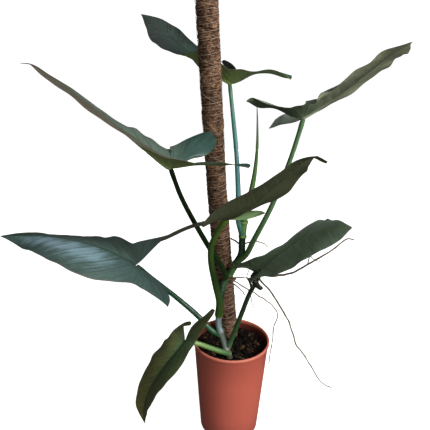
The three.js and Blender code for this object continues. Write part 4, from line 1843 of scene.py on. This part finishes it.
    def layers(self, carried: dict[str, np.ndarray]) -> tuple[np.ndarray, np.ndarray]:
        """Finds where the two sides lie, with the pleats, the groove above and the rib below.

        Args:
            carried: What the sheet's points carry.

        Returns:
            The distance of the upper and of the under side from the sheet, along its normals.
        """
        x, share, off = carried["x"], carried["edge"], carried["off"]
        fade = np.clip(off / 8, 0, 1) * (1 - share**3)
        pleat = self.pleat * np.cos(2 * np.pi * carried["vein"]) * fade * np.clip(1.15 - x, 0, 1)
        half = self.thickness / 2 * (1 - 0.55 * share**8)
        ahead = np.clip(1 + x * 14, 0, 1) * np.clip(1 - x, 0, 1)
        ridge = self.rib_depth * ahead**0.8 * bell(off, blend(*self.rib_half, np.maximum(x, 0)))
        groove = self.groove_depth * ahead**0.5 * bell(off, self.groove_half)
        return pleat + half - groove, pleat - half - ridge

    @staticmethod
    def open_edges(faces: list[list[int]]) -> list[tuple[int, int]]:
        """Lists the edges that only one face has.

        Args:
            faces: The faces.

        Returns:
            The edges, each in its own face's direction.
        """
        found: dict[tuple[int, int], None] = {}
        for face in faces:
            for start, end in zip(face, face[1:] + face[:1], strict=True):
                if (end, start) in found:
                    del found[(end, start)]
                else:
                    found[(start, end)] = None
        return list(found)

    def build(self) -> None:
        """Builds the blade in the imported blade's place."""
        points, faces, carried = self.sheet()
        used = np.unique(np.concatenate([np.array(face) for face in faces]))
        renumber = np.full(len(points), -1)
        renumber[used] = np.arange(len(used))
        faces = [[int(renumber[corner]) for corner in face] for face in faces]
        points = points[used]
        carried = {key: value[used] for key, value in carried.items()}
        triangles, quads = (np.array([face for face in faces if len(face) == sides]) for sides in (3, 4))
        normals = self.normals(points, (triangles, quads))
        above, below = self.layers(carried)
        both = np.vstack([points + normals * above[:, None], points + normals * below[:, None]])
        count = len(points)
        rim = np.array([[a, a + count, b + count, b] for a, b in self.open_edges(faces)])
        values = {key: np.tile(carried[key], 2) for key in ("vein", "rib", "edge", "dusk", "lobe", "gleam")}
        skin = Skin().add(both, [quads, triangles, rim], **values)
        skin.faces += [quads[:, ::-1] + count, triangles[:, ::-1] + count]
        skin.finishes += [np.ones(len(quads), int), np.ones(len(triangles), int)]
        finishes = [
            BladeSkin(f"blade_{self.name}_{side.value}", side, *colours, shine, self.side_vein)
            for side, colours, shine in zip(BladeSide, (self.upper, self.under), self.shine, strict=True)
        ]
        blade = skin.build(f"blade_{self.name}", "leaf", [finish.material() for finish in finishes])
        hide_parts(f"leaf_blade_{self.name}")


@dataclass(frozen=True)
class SoftLight:
    """A square soft light that shines at the middle of the plant."""

    name: str
    place: Point
    side: float
    watts: float
    colour: Colour = (1.0, 1.0, 1.0)
    mirrored: bool = True
    aim: Point = (-20.0, -40.0, 420.0)

    def build(self) -> None:
        """Builds the light."""
        data = bpy.data.lights.new(self.name, "AREA")
        data.size = self.side * MM
        data.energy = self.watts
        data.color = self.colour
        light = bpy.data.objects.new(self.name, data)
        light.location = Vector(self.place) * MM
        towards = Vector(self.aim) * MM - light.location
        light.rotation_euler = towards.to_track_quat("-Z", "Y").to_euler()
        light.visible_camera = False
        light.visible_glossy = self.mirrored
        bpy.context.scene.collection.objects.link(light)


@dataclass(frozen=True)
class Studio:
    """The camera of the photograph's view, soft lights and a pale sweep under and behind the plant."""

    eye: Point = (-34.0, -761.0, 700.0)
    pitch: float = 18.96
    roll: float = 1.05
    focal_pixels: float = 480.0
    frame_pixels: float = 430.0
    sensor: float = 36.0
    lights: tuple[SoftLight, ...] = (
        SoftLight("window", (1500, -1300, 1500), 1100, 57),
        SoftLight("front", (300, -2600, 800), 1800, 20, (1.0, 0.99, 0.97)),
        SoftLight("sky", (-300, 700, 2300), 1500, 5, (0.9, 0.96, 1.0)),
        SoftLight("fill", (-500, 2700, 450), 1800, 24, mirrored=False),
    )
    air_glow: float = 0.08
    floor_radius: float = 4200.0
    floor_drop: float = 0.4
    cove: float = 900.0
    cove_rows: int = 17
    wall: float = 4200.0
    sides: int = 96
    paper: tuple[Colour, Colour] = ((0.86, 0.86, 0.86), (0.9, 0.9, 0.9))
    paper_glow: float = 1.05

    def build_camera(self) -> None:
        """Builds the camera."""
        data = bpy.data.cameras.new("camera")
        data.sensor_width = self.sensor
        data.lens = self.sensor * self.focal_pixels / self.frame_pixels
        camera = bpy.data.objects.new("camera", data)
        pitch, roll = math.radians(self.pitch), math.radians(self.roll)
        ahead = Vector((0, math.cos(pitch), -math.sin(pitch)))
        level_up = Vector((0, math.sin(pitch), math.cos(pitch)))
        level_right = Vector((1, 0, 0))
        right = level_right * math.cos(roll) + level_up * math.sin(roll)
        up = level_up * math.cos(roll) - level_right * math.sin(roll)
        turn = Matrix((right, up, -ahead)).transposed().to_4x4()
        camera.matrix_world = Matrix.Translation(Vector(self.eye) * MM) @ turn
        bpy.context.scene.collection.objects.link(camera)
        bpy.context.scene.camera = camera

    def build_air(self) -> None:
        """Gives the room its faint even light."""
        world = bpy.data.worlds.new("studio_air")
        world.use_nodes = True
        background = world.node_tree.nodes["Background"]
        background.inputs["Color"].default_value = (1.0, 1.0, 1.0, 1.0)
        background.inputs["Strength"].default_value = self.air_glow
        bpy.context.scene.world = world

    def build_sweep(self) -> None:
        """Builds the sweep: a round floor that curves up into a wall."""
        turn = np.linspace(0, np.pi / 2, self.cove_rows)
        outer = self.floor_radius + self.cove
        radius = np.concatenate([[10], self.floor_radius + self.cove * np.sin(turn), [outer]])
        height = np.concatenate([[0], self.cove * (1 - np.cos(turn)), [self.wall]]) - self.floor_drop
        angles = once_round(self.sides)
        x, y = radius[:, None] * np.cos(angles), radius[:, None] * np.sin(angles)
        z = np.broadcast_to(height[:, None], x.shape)
        points = np.stack([x, y, z], axis=-1).reshape(-1, 3) * MM
        faces = [*ring_faces(*x.shape)[0].tolist(), list(range(self.sides))]
        mesh = bpy.data.meshes.new("sweep")
        mesh.from_pydata(points.tolist(), [], faces)
        mesh.shade_smooth()
        shader = Shader("pale_paper")
        tint = shader.mix(shader.noise(2.0, 2), *self.paper)
        paper = shader.finish(tint, 0.9, Emission_Color=tint, Emission_Strength=self.paper_glow)
        mesh.materials.append(paper)
        sweep = bpy.data.objects.new("sweep", mesh)
        sweep.visible_diffuse = False
        sweep.visible_glossy = False
        sweep.visible_shadow = False
        bpy.context.scene.collection.objects.link(sweep)

    def build(self) -> None:
        """Builds the camera, the lights and the sweep."""
        self.build_camera()
        for light in self.lights:
            light.build()
        self.build_air()
        self.build_sweep()
        bpy.context.scene.view_settings.view_transform = "Standard"
        LOG.info("studio: camera, %d lights and sweep", len(self.lights))


OLIVE_RIB = linear(128, 146, 88)
PALE_VEIN = linear(128, 140, 118)
OLIVE_VEIN = linear(120, 124, 92)

BLADES = (
    LeafBlade(
        "A", ((-99, -99, 541), (-107, -112, 541), (-215, -102, 652), (-303, -77, 677)),
        (0.38, -0.07, 0.92), 2, 1.0, 2, 3.5,
        HalfShape((31, -17), 36, 4, 54, 0.1), HalfShape((54, -2), 30, 8, 18, 0.7),
        (linear(102, 124, 110), linear(100, 88, 72), linear(60, 92, 84), RIB_GREEN, PALE_VEIN),
        (linear(156, 176, 108), linear(140, 148, 92), linear(150, 168, 110), OLIVE_RIB, OLIVE_VEIN),
        dusk=(0.05, 0.5, 0.6),
        gleam=(0.15, 0.15),
        swells=(
            Swell(0.93, 0.06, (0, 0, 6), (0, 0, 6)), Swell(0.8, 0.1, (0, 0, 3), (0, 0, 3)),
        ),
        right_swells=(
            Swell(0.56, 0.1, (0, 0, -6)), Swell(0.43, 0.035, (0, 0, 6)),
            Swell(-0.13, 0.09, (-3, 2, 7), (0, 0, 12)), Swell(-0.27, 0.09, (-12, 0, 3), (-12, 0, 3)),
        ),
        left_swells=(
            Swell(0.58, 0.14, (1, 1, 2)), Swell(-0.1, 0.07, (0, 0, 0), (0, 0, 4)),
            Swell(-0.22, 0.07, (0, 0, -3), (0, 0, -2)),
        ),
    ),
    LeafBlade(
        "B", ((-14, 42, 649), (-68, 18, 677), (-119, 108, 736), (-170, 144, 757)),
        (0.36, -0.19, 0.92), -57, 1.02, 2, 3,
        HalfShape((22, 5), 27, 84, 55, 0.1), HalfShape((22, -17), 24, -18, 28, 0.4),
        # Painted shade: B's upper colours are darker than the other blades' upper sides.
        (linear(44, 66, 58), linear(26, 40, 32), linear(60, 90, 62), RIB_GREEN, PALE_VEIN),
        (linear(160, 180, 96), linear(152, 168, 112), linear(172, 194, 136), OLIVE_RIB, PALE_VEIN),
        dusk=(0.3, 0.3, 0.9),
        shine=(0.3, 0.25),
        swells=(Swell(0.3, 0.1, (0, 0, 0), (0, 0, -7)),),
        right_swells=(
            Swell(-0.18, 0.1, (-6, 0, -8), (-8, 0, -4)), Swell(-0.07, 0.05, (0, 0, 3), (0, 0, 9)),
            Swell(0.62, 0.09, (-3, -1, -3)),
        ),
        left_swells=(
            Swell(0.22, 0.08, (0, 0, 16)), Swell(0.0, 0.06, (0, 0, 8)),
            Swell(-0.14, 0.08, (0, 2, 8), (0, 0, 17)), Swell(-0.24, 0.07, (-2, 0, -2), (-3, 0, 15)),
            Swell(-0.28, 0.05, (0, 0, -3), (0, 0, -5)),
        ),
    ),
    LeafBlade(
        "C", ((91, -58, 609), (157, -58, 649), (150, -177, 693), (164, -239, 711)),
        (-0.56, 0.64, 0.53), -14, 1.0, 2, 4.5,
        HalfShape((27, 11), 28, 36, 15, 0.5), HalfShape((27, -11), 25, -18, 30, 0.25),
        (linear(102, 122, 108), linear(82, 98, 82), linear(160, 174, 158), RIB_GREEN, PALE_VEIN),
        (linear(136, 144, 121), linear(205, 212, 170), linear(88, 102, 78), linear(168, 176, 146),
         linear(176, 184, 156)),
        dusk=(0.2, 0.2, 0.7),
        lobe_start=0.2,
        pleat=0.3,
        ripple=1.3,
        right_swells=(
            Swell(0.04, 0.08, (2, -2, -7)), Swell(0.24, 0.16, (4, 0, -6)), Swell(0.85, 0.1, (-2, 1, 3)),
            Swell(-0.26, 0.07, (4, 0, -10), (4, 0, -10)), Swell(-0.13, 0.07, (0, 0, 0), (0, 0, 7)),
        ),
        left_swells=(
            Swell(0.8, 0.08, (3, -1, -3)), Swell(-0.26, 0.07, (10, 0, 8), (10, 0, 4)),
            Swell(-0.17, 0.08, (0, 0, 15), (0, 0, 4)),
        ),
    ),
    LeafBlade(
        "D", ((-17, -80, 460), (23, -147, 490), (60, -192, 580), (82, -256, 593)),
        (-0.42, -0.05, 0.9), -17, 1.01, 2, 3,
        HalfShape((36, 12), 24, -7, 9, 0.33), HalfShape((-12, 8), 28, -52, 6, 0.16),
        (linear(84, 100, 88), linear(74, 84, 66), linear(104, 98, 74), RIB_GREEN, PALE_VEIN),
        # Painted light: D's under lobes are painted lighter, as if lit through.
        (linear(91, 96, 71), linear(82, 87, 62), linear(146, 178, 122), linear(100, 110, 68),
         linear(124, 128, 100)),
        pleat=0.08,
        ripple=0.3,
        shine=(0.4, 0.12),
        swells=(
            Swell(0.85, 0.07, (0, 1, 5), (0, 1, 5)), Swell(1.0, 0.07, (3, 0, -4), (3, 0, -4)),
        ),
        right_swells=(
            Swell(0.93, 0.05, (4, 0, 4)), Swell(0.42, 0.16, (-8, 3, 9)), Swell(0.24, 0.11, (-14, 0, -3)),
            Swell(-0.15, 0.12, (0, 0, 4), (0, 0, 5)),
        ),
        left_swells=(
            Swell(0.76, 0.14, (-7, 0, -8)), Swell(0.94, 0.07, (0, 0, -3)),
        ),
    ),
    LeafBlade(
        "E", ((41, -79, 376), (81, -83, 421), (97, -167, 479), (134, -208, 498)),
        (-0.47, -0.52, 0.72), 14, 1.01, 2, 3,
        HalfShape((46, -14), 17, 68, 3, 0.1), HalfShape((2, 0), 57, 39, 10, -0.1),
        (linear(122, 148, 116), linear(160, 188, 164), linear(92, 108, 82), linear(148, 170, 134),
         linear(200, 214, 184)),
        (linear(92, 104, 76), linear(80, 88, 62), linear(92, 104, 76), OLIVE_RIB, OLIVE_VEIN),
        gleam=(0.0, 0.0),
        shine=(0.6, 0.25),
        side_vein=linear(178, 198, 162),
        pleat=0.25,
        right_swells=(
            Swell(0.86, 0.13, (3, -1, -4)), Swell(0.17, 0.1, (0, 1, 2)),
            Swell(-0.3, 0.16, (12, 0, 7), (12, 0, 7)),
        ),
        left_swells=(
            Swell(-0.16, 0.09, (0, 0, 0), (0, 0, 11)), Swell(-0.07, 0.07, (-2, 2, 5)),
            Swell(0.2, 0.12, (4, -2, -6)), Swell(0.76, 0.07, (0, -1, -4)), Swell(0.63, 0.05, (0, 0, -3)),
        ),
    ),
    LeafBlade(
        "F", ((-164, -36, 360), (-213, -96, 431), (-302, -34, 413), (-378, -46, 412)),
        (0.82, -0.18, 0.55), 2, 1.08, 2, 3.5,
        HalfShape((4, -17), 32, 76, 7, 0.8), HalfShape((27, -17), 31, 5, 11, -0.15),
        (linear(78, 104, 100), linear(50, 66, 56), linear(64, 86, 82), linear(34, 58, 36), PALE_VEIN),
        (linear(102, 110, 80), linear(88, 94, 66), linear(102, 110, 80), OLIVE_RIB, OLIVE_VEIN),
        dusk=(0.8, 0.05, 0.3),
        gleam=(0.0, 0.95),
        shine=(0.5, 0.25),
        right_swells=(Swell(0.27, 0.1, (0, -2, -7)),),
        left_swells=(
            Swell(0.35, 0.15, (-1, -1, -2)), Swell(0.8, 0.15, (-1, -1, -2)),
            Swell(-0.26, 0.06, (-5, 0, -1), (-5, 0, -1)),
        ),
    ),
    LeafBlade(
        "G", ((-81, -63, 234), (-97, -98, 224), (-163, -89, 148), (-147, -98, 90)),
        (-0.4, -0.42, 0.82), 0, 1.03, 1, 3,
        HalfShape((16, 17), 44, 17, -23, 0.5), HalfShape((36, 16), 22, -30, 35, 0.18),
        (linear(95, 126, 86), linear(112, 112, 66), linear(96, 104, 64), linear(60, 72, 38),
         linear(160, 164, 124)),
        (linear(92, 98, 66), linear(80, 84, 54), linear(92, 98, 66), OLIVE_RIB, OLIVE_VEIN),
        dusk=(0.62, 0.05, 1.0),
        gleam=(0.0, 0.0),
        shine=(0.18, 0.25),
        side_vein=linear(140, 146, 104),
        pleat=0.25,
        right_swells=(
            Swell(0.3, 0.08, (2, -1, -2)), Swell(0.8, 0.12, (-4, 0, 0)),
            Swell(-0.26, 0.07, (0, 0, -8), (0, 0, -8)),
        ),
        left_swells=(
            Swell(0.42, 0.24, (-4, 1, 3)), Swell(-0.14, 0.1, (0, 0, 0), (-8, 0, 2)),
            Swell(-0.26, 0.06, (-3, 0, -6), (-3, 0, -6)),
        ),
    ),
)

STALKS = (
    LeafStalk(
        "A",
        ((-11, -9, 327), (-27, -24, 365), (-44, -36, 397), (-72, -64, 460), (-86, -81, 497), (-98, -98, 540)),
        (5.0, 3.4),
        # Painted shade: stalk A is painted far darker than the other stalks, as it faces away from the light.
        ((0.0, linear(35, 62, 17)), (0.2, linear(24, 49, 12)), (1.0, linear(16, 34, 6))),
    ),
    LeafStalk(
        "B",
        ((13, -3, 405), (5, -4, 433), (4, 2, 472), (-1, 17, 543), (-7, 29, 593), (-12, 38, 632),
         (-14, 42, 648)),
        (5.2, 3.1),
        # Partly painted highlight: B's stalk is painted pale teal along its middle, for its silver-blue
        # highlight.
        ((0.0, linear(54, 108, 84)), (0.3, linear(98, 164, 164)), (0.7, linear(82, 154, 148)),
         (1.0, linear(80, 136, 92))),
    ),
    LeafStalk(
        "C",
        ((5, -4, 355), (20, -9, 371), (31, -13, 398), (58, -27, 468), (79, -43, 545), (87, -51, 583),
         (91, -58, 607)),
        (5.0, 3.4),
        ((0.0, linear(83, 117, 64)), (0.3, linear(86, 123, 77)), (1.0, linear(110, 146, 101))),
    ),
    LeafStalk(
        "D",
        ((-24, -22, 262), (-24, -33, 294), (-31, -38, 328), (-39, -47, 374), (-39, -54, 403),
         (-30, -66, 433), (-18, -79, 458)),
        (6.4, 4.4),
        ((0.0, linear(63, 99, 32)), (0.4, linear(44, 74, 23)), (0.75, linear(64, 96, 31)),
         (1.0, linear(87, 117, 40))),
    ),
    LeafStalk(
        "E",
        ((-6, -34, 206), (2, -41, 235), (15, -53, 287), (24, -64, 325), (33, -72, 351), (40, -78, 374)),
        (4.8, 3.4),
        ((0.0, linear(92, 130, 92)), (0.12, linear(64, 98, 56)), (0.5, linear(46, 70, 42)),
         (1.0, linear(36, 48, 30))),
    ),
    LeafStalk(
        "F",
        ((-20, -30, 226), (-30, -28, 229), (-44, -26, 240), (-60, -23, 258), (-92, -20, 287),
         (-140, -28, 334), (-162, -35, 358)),
        (5.0, 3.6),
        ((0.0, linear(31, 93, 50)), (0.25, linear(20, 75, 42)), (1.0, linear(12, 58, 29))),
    ),
    LeafStalk(
        "G",
        ((-4, -37, 192), (-17, -43, 200), (-36, -49, 211), (-61, -57, 226), (-80, -63, 233)),
        (4.8, 3.6),
        ((0.0, linear(66, 106, 62)), (0.35, linear(104, 144, 79)), (0.8, linear(139, 173, 99)),
         (1.0, linear(111, 142, 85))),
    ),
)

BARK_BROWN = linear(72, 58, 42)
ROOTS = (
    AerialRoot(
        "aerial_root_long",
        ((3, -4, 350), (19, -7, 350), (33, -10, 344), (46, -13, 336), (61, -17, 336), (97, -23, 345),
         (134, -30, 373), (160, -34, 394), (181, -38, 415), (192, -40, 414)),
        (2.6, 1.0), linear(32, 30, 22), linear(112, 98, 68),
        branches=(((122, -29, 363), (124, -33, 380), (133, -34, 375), (143, -36, 372)),),
    ),
    AerialRoot(
        "aerial_root_hanging",
        ((38, -11, 341), (45, -15, 328), (62, -20, 311), (80, -24, 285), (97, -28, 256), (107, -30, 229),
         (114, -32, 209), (136, -35, 180), (152, -38, 152), (168, -41, 134), (182, -44, 129)),
        (1.7, 0.9), linear(82, 72, 50), linear(116, 112, 72),
    ),
    AerialRoot(
        "aerial_root_thin",
        ((-10, -8, 324), (0, -15, 325), (26, -20, 310), (54, -25, 295), (71, -29, 282), (77, -31, 266),
         (72, -33, 246), (71, -36, 222), (68, -39, 197), (66, -42, 175)),
        (1.2, 0.8), linear(96, 78, 64), linear(146, 122, 104),
        branches=(((26, -20, 310), (29, -26, 303), (30, -30, 300), (33, -32, 290), (36, -34, 281)),),
    ),
    AerialRoot(
        "aerial_root_short_1",
        ((-9, -7, 326), (-3, -15, 330), (22, -17, 331), (31, -18, 328)),
        (1.4, 0.8), BARK_BROWN, linear(112, 94, 72), rings=40,
    ),
    AerialRoot(
        "aerial_root_short_2",
        ((-10, -7, 319), (1, -16, 318), (11, -19, 311), (21, -21, 300)),
        (1.3, 0.8), BARK_BROWN, linear(118, 100, 80), rings=40,
    ),
    AerialRoot(
        "aerial_root_short_3",
        ((13, -3, 388), (24, -3, 391), (38, -4, 394), (50, -6, 391), (57, -8, 385)),
        (1.3, 0.8), linear(122, 116, 70), linear(150, 136, 92), rings=48,
    ),
    AerialRoot(
        "aerial_root_to_pole",
        ((12, -2, 386), (2, 0, 392), (-7, 2, 397)),
        (1.5, 1.3), linear(44, 38, 30), linear(58, 46, 36), rings=24,
    ),
)


def corners(box: tuple[Vector, Vector]) -> list[list[float]]:
    """Returns a box's lowest and highest corner as plain lists."""
    return [list(corner) for corner in box]


def main() -> None:
    """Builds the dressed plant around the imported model."""
    logging.basicConfig(level=logging.INFO, format="%(message)s")
    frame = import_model()
    Studio().build()
    NurseryPot().build()
    BarkSoil().build()
    CoirPole().build(frame)
    MainStem().build()
    for stalk in STALKS:
        stalk.build()
    RolledLeaf().build()
    for root in ROOTS:
        root.build()
    for blade in BLADES:
        blade.build()
    ShrivelledLobe().build()
    bpy.context.view_layer.update()


if __name__ == "__main__":
    main()
